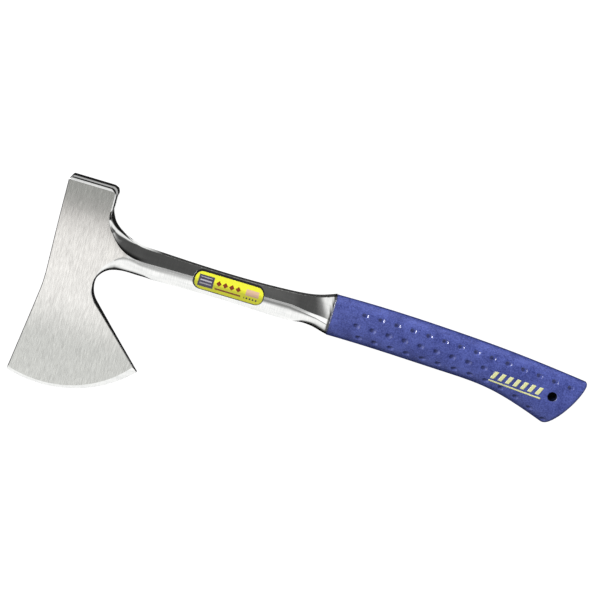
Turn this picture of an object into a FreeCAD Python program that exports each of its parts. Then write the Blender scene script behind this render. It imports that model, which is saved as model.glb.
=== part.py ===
import FreeCAD, Part
import os
from math import atan2, copysign, cos, degrees, radians, sin, sqrt, tan

# Camp axe: one steel forging, a moulded grip bonded on its tang, a film label and a printed mark.
# Lengths are in millimetres and angles in degrees.
#
# Drawing frame: X runs from the poll's front edge along the handle, Y from the shaft's middle line
# towards the striking face, and Z is the thickness, with the middle plane at zero. At the end every
# piece is moved alike, so that the middle of the base of the whole axe's box is the origin.

V = FreeCAD.Vector
UP = V(0, 0, 1)

# How far a cutter reaches past what it cuts, the gap under which two curve ends are one point, and how
# often a search along a curve halves its range
overrun = 4.0
touching = 0.001
halving_count = 40

# Poll, from the shaft's middle line up to the striking face
poll_rise = 49.0
poll_width = 37.1
poll_thickness = 19.0
poll_bevel = 1.6
poll_front_round = 2.0
poll_rear_round = 7.5

# Front edge of the head: straight from the poll, then leaning forward to the toe
front_straight_drop = 34.5
front_lean_angle = 8.4
front_blend_radius = 130.0
front_chamfer = 0.8

# Cutting edge: an arc about a centre below the shaft's middle line
edge_radius = 94.6
edge_centre_inset = 15.2
edge_centre_drop = 22.1
edge_bevel_angle = 22.0
edge_land = 0.3

# Notch behind the blade, and the straight rear edge that runs down to the heel
notch_inset = 36.5
notch_drop = 28.0
notch_upper_radius = 16.0
notch_lower_radius = 19.0
notch_exit_angle = 15.0
beard_angle = 44.6
beard_chamfer = 0.6

# Fillet from the poll's rear face to the top of the shaft
crook_rise = 33.4
crook_radius = 16.0
crook_exit_angle = 35.0

# Thickness across both cheeks, at the breaks of the ground faces
cheek_upper_break_rise = 14.4
cheek_lower_break_drop = 59.0
cheek_lower_break_thickness = 5.9
cheek_bit_drop = 118.0
cheek_bit_thickness = 1.8
cheek_blend_radius = 400.0

# Shaft: its depths above and below the middle line, from the head to the collar
neck_run = 70.0
neck_rise = 10.9
neck_slope_angle = 2.0
neck_drop = 11.3
waist_run = 150.0
waist_rise = 9.5
waist_drop = 10.35
wrist_run = 184.0
wrist_rise = 11.1
wrist_drop = 10.5
flare_run = 203.0
flare_rise = 13.9
flare_drop = 10.4
collar_run = 215.0
collar_rise = 18.2
collar_drop = 13.2
collar_lip_angle = 22.0

# Ridge along the middle of each side of the shaft, and the flats along its top and bottom
ridge_width = 1.8
ridge_tip_run = 56.0
ridge_tip_rise = 1.4
ridge_tip_thickness = 16.6
ridge_neck_rise = 0.5
ridge_neck_thickness = 15.2
ridge_waist_rise = 1.6
ridge_waist_thickness = 14.0
ridge_wrist_rise = 2.2
ridge_wrist_thickness = 14.8
ridge_flare_drop = 0.4
ridge_flare_thickness = 17.4
ridge_collar_drop = 3.5
ridge_collar_thickness = 21.6
shaft_flat_width = 5.6
crook_flat_width = 9.2
crook_flank_reach = 3.6
notch_flank_reach = 8.0
throat_run = 53.5
throat_flat_width = 7.4
throat_flank_reach = 8.3
round_section_count = 9
collar_flat_width = 8.4

# Tang inside the grip, and the coat of adhesive round it
tang_length = 158.0
tang_depth = 21.0
tang_end_depth = 15.0
tang_thickness = 9.0
tang_end_thickness = 6.0
tang_rise = 2.3
tang_end_drop = 3.0
tang_corner_radius = 2.0
bond_thickness = 0.25

# Grip: its outline above and below the middle line and its thickness, by distance from the collar
grip_front_rise = 18.4
grip_front_drop = 13.3
grip_front_thickness = 22.4
grip_fore_run = 24.0
grip_fore_rise = 18.7
grip_fore_drop = 13.2
grip_fore_thickness = 24.0
grip_palm_run = 92.0
grip_palm_rise = 17.15
grip_palm_drop = 14.75
grip_palm_thickness = 25.0
grip_hollow_run = 128.0
grip_hollow_rise = 15.25
grip_hollow_drop = 17.2
grip_hollow_thickness = 24.4
grip_swell_run = 160.0
grip_swell_rise = 12.65
grip_swell_drop = 25.7
grip_swell_thickness = 23.4
grip_butt_run = 204.0
grip_butt_rise = 7.9
grip_butt_drop = 42.0
grip_butt_thickness = 21.6
grip_section_power = 2.35
grip_section_points = 20
grip_section_count = 12

# Butt: a bulging end face that leans back under the hand, with a rounded rim
butt_apex_run = 189.9
butt_apex_drop = 13.7
butt_lean_angle = 30.6
butt_bulge_radius = 110.0
butt_rim_round = 3.0

# Hanging hole through the butt
hang_hole_diameter = 7.1
hang_hole_run = 175.4
hang_hole_drop = 6.8

# Pits on each side of the grip, in rows that follow its top, middle and bottom
pit_pitch = 12.5
pit_radius = 2.2
pit_length = 1.4
pit_depth = 1.1
upper_row_inset = 6.8
upper_row_run = 24.3
upper_row_count = 14
middle_row_run = 20.1
middle_row_count = 9
lower_row_inset = 7.1
lower_row_turn_run = 147.0
lower_row_end_inset = 0.8
lower_row_run = 24.1
lower_row_count = 13

# Film label over the ridge on the near side of the shaft
label_run = 135.5
label_rise = 1.2
label_length = 55.0
label_width = 15.6
label_corner_radius = 6.5
label_thickness = 0.3

# Printed mark on the near side of the grip: a row of slanted bars over a line
mark_run = 147.0
mark_drop = 4.2
mark_tilt_angle = -3.5
mark_bar_count = 7
mark_bar_pitch = 5.9
mark_bar_width = 3.0
mark_bar_height = 6.2
mark_bar_slant = 2.2
mark_line_gap = 1.4
mark_line_width = 1.2
mark_thickness = 0.2


def line(start, end):
    return Part.LineSegment(start, end).toShape()


def heading(angle):
    return V(cos(radians(angle)), sin(radians(angle)), 0)


def arc(centre, radius, start_angle, end_angle):
    """Arc in the middle plane from one angle to another, in either direction."""
    points = [
        centre + heading(angle) * radius
        for angle in (start_angle, (start_angle + end_angle) / 2, end_angle)
    ]
    return Part.Arc(*points).toShape()


def corner_arc(before, corner, after, radius):
    """Arc of the given radius that is tangent to both legs of a corner."""
    to_before = (before - corner).normalize()
    to_after = (after - corner).normalize()
    half_angle = to_before.getAngle(to_after) / 2
    bisector = (to_before + to_after).normalize()
    middle = corner + bisector * (radius / sin(half_angle) - radius)
    reach = radius / tan(half_angle)
    return Part.Arc(corner + to_before * reach, middle, corner + to_after * reach).toShape()


def spline(points, start_direction, end_direction):
    curve = Part.BSplineCurve()
    curve.interpolate(Points=points, InitialTangent=start_direction, FinalTangent=end_direction)
    return curve.toShape()


def smooth(points):
    curve = Part.BSplineCurve()
    curve.interpolate(points)
    return curve.toShape()


def first_point(edge):
    return edge.valueAt(edge.FirstParameter)


def last_point(edge):
    return edge.valueAt(edge.LastParameter)


def joined(edges):
    """Closed wire through the edges in order, with straight lines across the gaps between them."""
    chain = []
    for edge, following in zip(edges, edges[1:] + edges[:1]):
        chain.append(edge)
        if last_point(edge).distanceToPoint(first_point(following)) > touching:
            chain.append(line(last_point(edge), first_point(following)))
    return Part.Wire(chain)


def prism(wire, start, travel):
    """Solid that the wire's face sweeps, after the face is first moved by start."""
    face = Part.Face(wire)
    face.translate(start)
    return face.extrude(travel)


def polygon(points):
    return Part.makePolygon(points + points[:1])


def with_mirror(shape):
    """The shape and its image on the other side of the middle plane."""
    return [shape, shape.mirror(V(0, 0, 0), UP)]


def between(place, table):
    """Value at a place, along straight lines between the rows of a table of places and values."""
    for (start, start_value), (end, end_value) in zip(table, table[1:]):
        if place <= end or end == table[-1][0]:
            share = (place - start) / (end - start)
            return start_value + share * (end_value - start_value)


def circle_crossing(start, ray, centre, radius):
    """Point where a ray from inside a circle meets it."""
    offset = start - centre
    along = offset.dot(ray)
    return start + ray * (sqrt(along * along + radius * radius - offset.dot(offset)) - along)


# Corners of the head's outline that its curves share
edge_centre = V(edge_centre_inset, -edge_centre_drop, 0)
rear_corner = V(poll_width, poll_rise, 0)
front_corner = V(0, poll_rise, 0)
front_break = V(0, -front_straight_drop, 0)
toe = circle_crossing(front_break, heading(-90 - front_lean_angle), edge_centre, edge_radius)
crook_start = V(poll_width, crook_rise, 0)
crook_centre = V(poll_width + crook_radius, crook_rise, 0)
notch_upper_centre = V(notch_inset + notch_upper_radius, -notch_drop, 0)
notch_lower_centre = V(notch_inset + notch_lower_radius, -notch_drop, 0)
beard_start = notch_lower_centre + heading(180 + beard_angle) * notch_lower_radius
beard_heading = heading(beard_angle - 90)
heel = circle_crossing(beard_start, beard_heading, edge_centre, edge_radius)

# Curves of the outline, each drawn the way that goes round the forging anticlockwise
notch_lower = arc(notch_lower_centre, notch_lower_radius, 180 + beard_angle, 180)
notch_upper = arc(notch_upper_centre, notch_upper_radius, 180, 90 + notch_exit_angle)
notch_runout = spline(
    [last_point(notch_upper), V(neck_run, -neck_drop, 0)],
    heading(notch_exit_angle),
    heading(neck_slope_angle),
)
shaft_bottom = spline(
    [
        V(neck_run, -neck_drop, 0),
        V(waist_run, -waist_drop, 0),
        V(wrist_run, -wrist_drop, 0),
        V(flare_run, -flare_drop, 0),
        V(collar_run, -collar_drop, 0),
    ],
    heading(neck_slope_angle),
    heading(-collar_lip_angle / 2),
)
crook = arc(crook_centre, crook_radius, 270 - crook_exit_angle, 180)
crook_runout = spline(
    [V(neck_run, neck_rise, 0), first_point(crook)],
    heading(180 - neck_slope_angle),
    heading(180 - crook_exit_angle),
)
shaft_top = spline(
    [
        V(collar_run, collar_rise, 0),
        V(flare_run, flare_rise, 0),
        V(wrist_run, wrist_rise, 0),
        V(waist_run, waist_rise, 0),
        V(neck_run, neck_rise, 0),
    ],
    heading(180 + collar_lip_angle),
    heading(180 - neck_slope_angle),
)
rear_round = corner_arc(crook_start, rear_corner, front_corner, poll_rear_round)
front_round = corner_arc(rear_corner, front_corner, front_break, poll_front_round)
front_blend = corner_arc(front_corner, front_break, toe, front_blend_radius)
cutting_edge = arc(
    edge_centre,
    edge_radius,
    degrees(atan2(toe.y - edge_centre.y, toe.x - edge_centre.x)),
    degrees(atan2(heel.y - edge_centre.y, heel.x - edge_centre.x)),
)

# Half thickness of the cheeks by height, and of the shaft's ridge with its height by distance.
# The ridge starts level with the cheeks' full thickness, above the notch.
cheek_halves = [
    (-cheek_bit_drop, cheek_bit_thickness / 2),
    (-cheek_lower_break_drop, cheek_lower_break_thickness / 2),
    (cheek_upper_break_rise, poll_thickness / 2),
    (poll_rise, poll_thickness / 2),
]
ridge_profile = smooth([
    V(notch_inset, poll_thickness / 2, 0),
    V(ridge_tip_run, ridge_tip_thickness / 2, 0),
    V(neck_run, ridge_neck_thickness / 2, 0),
    V(waist_run, ridge_waist_thickness / 2, 0),
    V(wrist_run, ridge_wrist_thickness / 2, 0),
    V(flare_run, ridge_flare_thickness / 2, 0),
    V(collar_run, ridge_collar_thickness / 2, 0),
])
ridge_rises = [
    (ridge_tip_run, ridge_tip_rise),
    (neck_run, ridge_neck_rise),
    (waist_run, ridge_waist_rise),
    (wrist_run, ridge_wrist_rise),
    (flare_run, -ridge_flare_drop),
    (collar_run, -ridge_collar_drop),
]
thicknesses = [
    poll_thickness,
    ridge_collar_thickness,
    grip_front_thickness,
    grip_fore_thickness,
    grip_palm_thickness,
    grip_hollow_thickness,
    grip_swell_thickness,
    grip_butt_thickness,
]
full_half = max(thicknesses) / 2 + overrun


def forging_blank():
    """Whole outline of the head and the shaft, as thick as the thickest place."""
    outline = joined([
        notch_lower,
        notch_upper,
        notch_runout,
        shaft_bottom,
        shaft_top,
        crook_runout,
        crook,
        rear_round,
        front_round,
        front_blend,
        cutting_edge,
    ])
    return prism(outline, -UP * full_half, UP * (2 * full_half))


def above_cheek():
    """What lies over one cheek: a bevel at the striking face, then three ground faces with blends."""
    corners = [V(0, rise, half) for rise, half in cheek_halves]
    bit, lower_break, upper_break, face_corner = corners
    bevel_start = V(0, poll_rise - poll_bevel, poll_thickness / 2)
    bevel_end = V(0, poll_rise + overrun, poll_thickness / 2 - poll_bevel - overrun)
    bit_end = bit + (bit - lower_break).normalize() * overrun
    ceiling = full_half + overrun
    profile = joined([
        line(V(0, bit_end.y, ceiling), bit_end),
        corner_arc(bit, lower_break, upper_break, cheek_blend_radius),
        corner_arc(lower_break, upper_break, face_corner, cheek_blend_radius),
        line(bevel_start, bevel_end),
        line(bevel_end, V(0, bevel_end.y, ceiling)),
    ])
    front = toe.x - overrun
    over = prism(profile, V(front, 0, 0), V(heel.x + overrun - front, 0, 0))
    shaft_root = V(ridge_tip_run + overrun, -neck_drop - overrun, 0)
    shaft_room = Part.makeBox(heel.x, bevel_end.y + overrun - shaft_root.y, ceiling, shaft_root)
    return over.cut(shaft_room)


def above_ridge():
    """What lies over the ridge of the shaft on one side, seen along the edge of the axe."""
    start = first_point(ridge_profile)
    end = last_point(ridge_profile)
    past = end + ridge_profile.tangentAt(ridge_profile.LastParameter) * overrun
    ceiling = full_half + overrun
    profile = joined([
        ridge_profile,
        line(end, past),
        line(V(past.x, ceiling, 0), V(start.x, ceiling, 0)),
    ])
    over = prism(profile, -UP * poll_rise, UP * (poll_rise + collar_drop + overrun))
    over.rotate(V(0, 0, 0), V(1, 0, 0), 90)
    return over


def triangle(point, outward, reach, low_half, high_half):
    """Section of a flank cutter, square to the outline: its lower side passes the outline at
    low_half and is at high_half after reach inwards."""
    slope = (high_half - low_half) / reach
    outer = point + outward * overrun
    inner = point - outward * (reach + overrun / slope)
    ceiling = high_half + overrun
    corners = [
        outer + UP * (low_half - overrun * slope),
        inner + UP * ceiling,
        outer + UP * ceiling,
    ]
    return polygon(corners)


def section_on(edge, parameter, reach, low_half, high_half):
    tangent = edge.tangentAt(parameter)
    return triangle(edge.valueAt(parameter), V(tangent.y, -tangent.x, 0), reach, low_half, high_half)


def parameter_at(edge, run):
    """Parameter where an edge that keeps going one way along X passes a distance."""
    low = edge.FirstParameter
    high = edge.LastParameter
    rising = last_point(edge).x > first_point(edge).x
    for _ in range(halving_count):
        middle = (low + high) / 2
        if (edge.valueAt(middle).x < run) == rising:
            low = middle
        else:
            high = middle
    return (low + high) / 2


def shaft_section(edge, run, flat_half):
    """Flank of the shaft at a distance, from the flat on its edge up to its ridge."""
    parameter = parameter_at(edge, run)
    ridge_line = between(run, ridge_rises)
    reach = abs(edge.valueAt(parameter).y - ridge_line) - ridge_width / 2
    return section_on(edge, parameter, reach, flat_half, height_at(ridge_profile, run))


def past_collar(edge, parameter):
    """Flank section carried past the collar, so that the cutter leaves the forging there."""
    point = edge.valueAt(parameter)
    outward = V(0, copysign(1, point.y), 0)
    reach = abs(point.y + ridge_collar_drop) - ridge_width / 2
    past = point + V(overrun, 0, 0)
    return triangle(past, outward, reach, collar_flat_width / 2, ridge_collar_thickness / 2)


def shaft_sections(edge, collar_parameter):
    """Flank sections along one edge of the shaft, from the neck to past the collar."""
    half = shaft_flat_width / 2
    sections = [
        shaft_section(edge, neck_run + touching, half),
        shaft_section(edge, (neck_run + waist_run) / 2, half),
        shaft_section(edge, waist_run, half),
        shaft_section(edge, (waist_run + wrist_run) / 2, half),
        shaft_section(edge, wrist_run, half),
        shaft_section(edge, flare_run, (half + collar_flat_width / 2) / 2),
        shaft_section(edge, collar_run - touching, collar_flat_width / 2),
    ]
    return sections + [past_collar(edge, collar_parameter)]


def chamfer_sizes(chamfer, half):
    """Reach, low and high half thickness of a flank that is only a chamfer."""
    return chamfer, half - chamfer, half


def eased_sections(edge, from_end, start_sizes, end_sizes):
    """Flank sections along a round, from its start or its end to the far one. The sizes go evenly
    from those at the start to those at the end, but the reach grows slowly first."""
    first = edge.LastParameter if from_end else edge.FirstParameter
    last = edge.FirstParameter if from_end else edge.LastParameter
    sections = []
    for index in range(round_section_count):
        share = index / (round_section_count - 1)
        sizes = [size + share * (goal - size) for size, goal in zip(start_sizes, end_sizes)]
        sizes[0] = start_sizes[0] + share * share * (end_sizes[0] - start_sizes[0])
        sections.append(section_on(edge, first + share * (last - first), *sizes))
    return sections


def flank_cutters(rounds, along_shaft):
    """Cutter with flat faces between the sections of the straights and rounds at the head, and one
    with curved faces through those of the shaft, which starts where the first ends."""
    return [
        Part.makeLoft(rounds, True, True),
        Part.makeLoft(rounds[-1:] + along_shaft, True, False, False, 3),
    ]


def upper_flanks():
    """Cutters down the poll's rear face, then round the fillet and along the top of the shaft."""
    rear = V(1, 0, 0)
    poll_sizes = chamfer_sizes(front_chamfer, poll_thickness / 2)
    exit_sizes = (crook_flank_reach, crook_flat_width / 2, poll_thickness / 2)
    past_poll = triangle(rear_corner + V(0, overrun, 0), rear, *poll_sizes)
    rounds = [past_poll] + eased_sections(crook, True, poll_sizes, exit_sizes)
    throat = parameter_at(crook_runout, throat_run)
    cheek_half = between(crook_runout.valueAt(throat).y - throat_flank_reach, cheek_halves)
    throat_sizes = (throat_flank_reach, throat_flat_width / 2, cheek_half)
    along_shaft = [section_on(crook_runout, throat, *throat_sizes)]
    along_shaft += shaft_sections(shaft_top, shaft_top.FirstParameter)
    return flank_cutters(rounds, along_shaft)


def lower_flanks():
    """Cutters up the head's straight rear edge, then round the notch and along the shaft's bottom."""
    outward = V(-beard_heading.y, beard_heading.x, 0)
    past_heel = heel + beard_heading * overrun
    heel_sizes = chamfer_sizes(beard_chamfer, between(past_heel.y, cheek_halves))
    beard_sizes = chamfer_sizes(beard_chamfer, between(beard_start.y, cheek_halves))
    notch_sizes = chamfer_sizes(beard_chamfer, between(-notch_drop, cheek_halves))
    exit_point = last_point(notch_upper)
    exit_half = between(exit_point.y + notch_flank_reach, cheek_halves)
    exit_sizes = (notch_flank_reach, crook_flat_width / 2, exit_half)
    rounds = [triangle(past_heel, outward, *heel_sizes)]
    rounds += eased_sections(notch_lower, False, beard_sizes, notch_sizes)
    rounds += eased_sections(notch_upper, False, notch_sizes, exit_sizes)[1:]
    along_shaft = [shaft_section(notch_runout, throat_run, shaft_flat_width / 2)]
    along_shaft += shaft_sections(shaft_bottom, shaft_bottom.LastParameter)
    return flank_cutters(rounds, along_shaft)


def front_flank():
    """Cutter for the small chamfer down the front edge of the head."""
    half = poll_thickness / 2
    chamfer = front_chamfer
    ahead = V(-1, 0, 0)
    lean = (toe - front_break).normalize()
    lean_outward = V(lean.y, -lean.x, 0)
    break_half = between(front_break.y, cheek_halves)
    toe_half = between(toe.y, cheek_halves)
    lower_break = front_break + lean * ((front_straight_drop - cheek_lower_break_drop) / lean.y)
    lower_half = cheek_lower_break_thickness / 2
    sections = [
        triangle(front_corner + V(0, overrun, 0), ahead, chamfer, half - chamfer, half),
        triangle(V(0, cheek_upper_break_rise, 0), ahead, chamfer, half - chamfer, half),
        triangle(front_break, ahead, chamfer, break_half - chamfer, break_half),
        triangle(lower_break, lean_outward, chamfer, lower_half - chamfer, lower_half),
        triangle(toe + lean * overrun, lean_outward, chamfer, toe_half - chamfer, toe_half),
    ]
    return Part.makeLoft(sections, True, True)


def above_bevel():
    """What lies over one side of the cutting edge's bevel: a ring about the edge's centre."""
    slope = tan(radians(edge_bevel_angle))
    inner = edge_radius - cheek_lower_break_thickness / slope
    outer = edge_radius + overrun
    ceiling = (edge_radius - inner) * slope + edge_land / 2
    profile = polygon([
        edge_centre + V(inner, 0, ceiling),
        edge_centre + V(outer, 0, edge_land / 2 - overrun * slope),
        edge_centre + V(outer, 0, ceiling),
    ])
    return Part.Face(profile).revolve(edge_centre, UP, -180)


def tang_section(run, rise, depth, thickness, skin):
    """Rounded rectangle across the tang, larger all round by the skin."""
    half_depth = depth / 2 + skin
    half_thickness = thickness / 2 + skin
    corners = [
        V(run, rise + up * half_depth, side * half_thickness)
        for up, side in ((1, 1), (-1, 1), (-1, -1), (1, -1))
    ]
    rounds = [
        corner_arc(before, corner, after, tang_corner_radius + skin)
        for before, corner, after in zip(corners[-1:] + corners, corners, corners[1:] + corners[:1])
    ]
    return joined(rounds)


def tang(skin, root):
    """Tapered bar from root before the collar to the tang's end, with a skin round it and past it."""
    start = tang_section(collar_run - root, tang_rise, tang_depth, tang_thickness, skin)
    end_run = collar_run + tang_length + skin
    end = tang_section(end_run, -tang_end_drop, tang_end_depth, tang_end_thickness, skin)
    return Part.makeLoft([start, end], True, True)


def steel_forging():
    cutters = []
    for cutter in [above_cheek(), above_ridge(), above_bevel(), front_flank()]:
        cutters += with_mirror(cutter)
    for cutter in upper_flanks() + lower_flanks():
        cutters += with_mirror(cutter)
    head_and_shaft = forging_blank()
    for cutter in cutters:
        head_and_shaft = head_and_shaft.cut(cutter)
    return head_and_shaft.fuse(tang(0, overrun)).removeSplitter()


# Outline and thickness of the grip by distance along the axe
grip_tops = smooth([
    V(collar_run, grip_front_rise, 0),
    V(collar_run + grip_fore_run, grip_fore_rise, 0),
    V(collar_run + grip_palm_run, grip_palm_rise, 0),
    V(collar_run + grip_hollow_run, grip_hollow_rise, 0),
    V(collar_run + grip_swell_run, grip_swell_rise, 0),
    V(collar_run + grip_butt_run, grip_butt_rise, 0),
])
grip_bottoms = smooth([
    V(collar_run, -grip_front_drop, 0),
    V(collar_run + grip_fore_run, -grip_fore_drop, 0),
    V(collar_run + grip_palm_run, -grip_palm_drop, 0),
    V(collar_run + grip_hollow_run, -grip_hollow_drop, 0),
    V(collar_run + grip_swell_run, -grip_swell_drop, 0),
    V(collar_run + grip_butt_run, -grip_butt_drop, 0),
])
grip_sides = smooth([
    V(collar_run, grip_front_thickness / 2, 0),
    V(collar_run + grip_fore_run, grip_fore_thickness / 2, 0),
    V(collar_run + grip_palm_run, grip_palm_thickness / 2, 0),
    V(collar_run + grip_hollow_run, grip_hollow_thickness / 2, 0),
    V(collar_run + grip_swell_run, grip_swell_thickness / 2, 0),
    V(collar_run + grip_butt_run, grip_butt_thickness / 2, 0),
])


def height_at(edge, run):
    return edge.valueAt(parameter_at(edge, run)).y


def grip_oval(run):
    """Middle height, half depth and half thickness of the grip's section at a distance."""
    top = height_at(grip_tops, run)
    bottom = height_at(grip_bottoms, run)
    return (top + bottom) / 2, (top - bottom) / 2, height_at(grip_sides, run)


def grip_section(run):
    """Closed curve through points of a superellipse, an oval with fuller corners than an ellipse."""
    middle, half_depth, half_thickness = grip_oval(run)
    power = 2 / grip_section_power
    points = []
    for index in range(grip_section_points):
        angle = 360 * index / grip_section_points
        across = sin(radians(angle))
        up = cos(radians(angle))
        points.append(V(
            run,
            middle + half_depth * copysign(abs(up) ** power, up),
            half_thickness * copysign(abs(across) ** power, across),
        ))
    curve = Part.BSplineCurve()
    curve.interpolate(points, PeriodicFlag=True)
    return Part.Wire(curve.toShape())


def grip_body():
    """Lofted grip whose end is cut by a bulging face that leans, with its rim rounded."""
    step = grip_butt_run / (grip_section_count - 1)
    sections = [grip_section(collar_run + step * index) for index in range(grip_section_count)]
    loft = Part.makeLoft(sections, True, False)
    outward = heading(-butt_lean_angle)
    apex = V(collar_run + butt_apex_run, -butt_apex_drop, 0)
    centre = apex - outward * butt_bulge_radius
    reach = butt_bulge_radius + grip_butt_drop
    bulge = Part.makeCylinder(butt_bulge_radius, 2 * full_half, centre - UP * full_half, UP)
    beyond = Part.makeCylinder(reach, 2 * full_half, centre - UP * full_half, UP).cut(bulge)
    quadrant = polygon([
        centre,
        centre + heading(45 - butt_lean_angle) * (2 * reach),
        centre + heading(-45 - butt_lean_angle) * (2 * reach),
    ])
    body = loft.cut(beyond.common(prism(quadrant, -UP * full_half, UP * (2 * full_half))))
    rim = [edge for edge in body.Edges if edge.CenterOfMass.x > collar_run + grip_swell_run]
    return body.makeFillet(butt_rim_round, rim)


def pit_cutter():
    """Short bar with round ends along the handle, about the middle of its length: half of its
    outline turned about its long axis."""
    half_length = pit_length / 2
    front = V(-half_length, 0, 0)
    back = V(half_length, 0, 0)
    outline = joined([
        arc(front, pit_radius, 180, 90),
        arc(back, pit_radius, 90, 0),
    ])
    return Part.Face(outline).revolve(V(0, 0, 0), V(1, 0, 0), 360)


def pit_centre(run, rise):
    """Where the cutter's middle goes, so that it sinks into the grip's side by the pit's depth."""
    middle, half_depth, half_thickness = grip_oval(run)
    up_share = (rise - middle) / half_depth
    out_share = (1 - abs(up_share) ** grip_section_power) ** (1 / grip_section_power)
    steep = grip_section_power - 1
    outward = V(
        0,
        copysign(abs(up_share) ** steep, up_share) / half_depth,
        out_share ** steep / half_thickness,
    ).normalize()
    return V(run, rise, half_thickness * out_share) + outward * (pit_radius - pit_depth)


def pits():
    """Cutters for the three rows of pits on both sides."""
    lower_insets = [
        (0, lower_row_inset),
        (lower_row_turn_run, lower_row_inset),
        (grip_butt_run, lower_row_end_inset),
    ]
    places = []
    for index in range(upper_row_count):
        run = collar_run + upper_row_run + pit_pitch * index
        places.append((run, height_at(grip_tops, run) - upper_row_inset))
    for index in range(middle_row_count):
        run = collar_run + middle_row_run + pit_pitch * index
        places.append((run, grip_oval(run)[0]))
    for index in range(lower_row_count):
        run = collar_run + lower_row_run + pit_pitch * index
        inset = between(run - collar_run, lower_insets)
        places.append((run, height_at(grip_bottoms, run) + inset))
    blank = pit_cutter()
    cutters = []
    for run, rise in places:
        cutter = blank.copy()
        cutter.translate(pit_centre(run, rise))
        cutters += with_mirror(cutter)
    return cutters


def hang_hole():
    place = V(collar_run + hang_hole_run, -hang_hole_drop, -full_half)
    return Part.makeCylinder(hang_hole_diameter / 2, 2 * full_half, place, UP)


def grip_sleeve():
    cavity = tang(bond_thickness, overrun)
    return grip_body().cut([cavity, hang_hole()] + pits())


def grip_bond():
    """Coat between the tang and the grip, level with the collar at its open end."""
    corner = V(collar_run - overrun, tang_rise - tang_depth, -full_half)
    before_collar = Part.makeBox(overrun, 2 * tang_depth, 2 * full_half, corner)
    coat = tang(bond_thickness, overrun)
    return coat.cut([tang(0, overrun), before_collar])


def skin_over(carrier, outline, thickness):
    """Thin sheet that lies on the near side of a carrier inside an outline."""
    column = prism(outline, V(0, 0, 0), UP * full_half)
    raised = carrier.copy()
    raised.translate(UP * thickness)
    return raised.common(column).cut(carrier)


def placed(shape, run, rise, angle):
    """Flat shape drawn about zero, turned and carried to its place."""
    moved = shape.copy()
    moved.rotate(V(0, 0, 0), UP, angle)
    moved.translate(V(run, rise, 0))
    return moved


def shaft_label(forging):
    half_length = label_length / 2
    half_width = label_width / 2
    corners = [
        V(half_length, half_width, 0),
        V(-half_length, half_width, 0),
        V(-half_length, -half_width, 0),
        V(half_length, -half_width, 0),
    ]
    rounds = [
        corner_arc(before, corner, after, label_corner_radius)
        for before, corner, after in zip(corners[-1:] + corners, corners, corners[1:] + corners[:1])
    ]
    outline = joined(rounds)
    outline.translate(V(label_run, label_rise, 0))
    return skin_over(forging, outline, label_thickness)


def grip_mark(grip):
    """Seven slanted bars and the line under them, each a thin raised print."""
    half_height = mark_bar_height / 2
    outlines = []
    for index in range(mark_bar_count):
        middle = (index - (mark_bar_count - 1) / 2) * mark_bar_pitch
        low = middle - mark_bar_slant / 2
        high = middle + mark_bar_slant / 2
        outlines.append(polygon([
            V(low - mark_bar_width / 2, -half_height, 0),
            V(low + mark_bar_width / 2, -half_height, 0),
            V(high + mark_bar_width / 2, half_height, 0),
            V(high - mark_bar_width / 2, half_height, 0),
        ]))
    half_length = mark_bar_count * mark_bar_pitch / 2
    line_top = -half_height - mark_line_gap
    outlines.append(polygon([
        V(-half_length, line_top - mark_line_width, 0),
        V(half_length, line_top - mark_line_width, 0),
        V(half_length, line_top, 0),
        V(-half_length, line_top, 0),
    ]))
    prints = []
    for outline in outlines:
        on_grip = placed(outline, collar_run + mark_run, -mark_drop, mark_tilt_angle)
        prints += skin_over(grip, on_grip, mark_thickness).Solids
    return Part.makeCompound(prints)


def build():
    forging = steel_forging()
    grip = grip_sleeve()
    pieces = {
        "steel_forging": forging,
        "grip_bond": grip_bond(),
        "grip_sleeve": grip,
        "shaft_label": shaft_label(forging),
        "grip_mark": grip_mark(grip),
    }
    box = Part.makeCompound(list(pieces.values())).optimalBoundingBox(False)
    base = V(-box.Center.x, -box.Center.y, -box.ZMin)
    os.makedirs("parts", exist_ok=True)
    for name, shape in pieces.items():
        shape.translate(base)
        shape.exportStep("parts/" + name + ".step")
        print(name, len(shape.Solids), "solids", round(shape.Volume), "mm3", shape.isValid())


build()
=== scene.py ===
import math
from functools import partialmethod

import bmesh
import bpy
import numpy as np
from mathutils import Matrix, Vector


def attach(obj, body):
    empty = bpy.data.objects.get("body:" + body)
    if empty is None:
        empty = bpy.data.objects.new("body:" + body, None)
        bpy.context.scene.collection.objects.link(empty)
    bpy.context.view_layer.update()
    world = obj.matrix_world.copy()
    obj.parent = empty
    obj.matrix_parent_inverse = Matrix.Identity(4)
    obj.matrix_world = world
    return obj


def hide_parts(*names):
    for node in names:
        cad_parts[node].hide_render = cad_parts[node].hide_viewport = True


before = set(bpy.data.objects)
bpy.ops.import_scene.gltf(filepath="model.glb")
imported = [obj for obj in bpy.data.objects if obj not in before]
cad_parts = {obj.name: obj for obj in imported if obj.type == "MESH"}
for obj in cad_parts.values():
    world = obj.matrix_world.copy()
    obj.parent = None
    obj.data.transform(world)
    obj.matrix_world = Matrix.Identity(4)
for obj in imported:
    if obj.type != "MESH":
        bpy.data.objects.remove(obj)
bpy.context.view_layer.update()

# Camp axe: the looks of the forging, the moulded grip, the film label and the printed mark.
# Shapes are worked out in millimetres, in the frame in which the axe is drawn: X runs from the poll's
# front edge along the handle, Y from the shaft's middle line towards the striking face, and Z is the
# thickness, with the middle plane at zero. The last step of each shape moves it into the model's
# frame, in metres. Angles are in degrees where they are named and in radians where they are used.

metres = 0.001
to_model = np.array([-201.1304, 33.85, 12.545])

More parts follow.
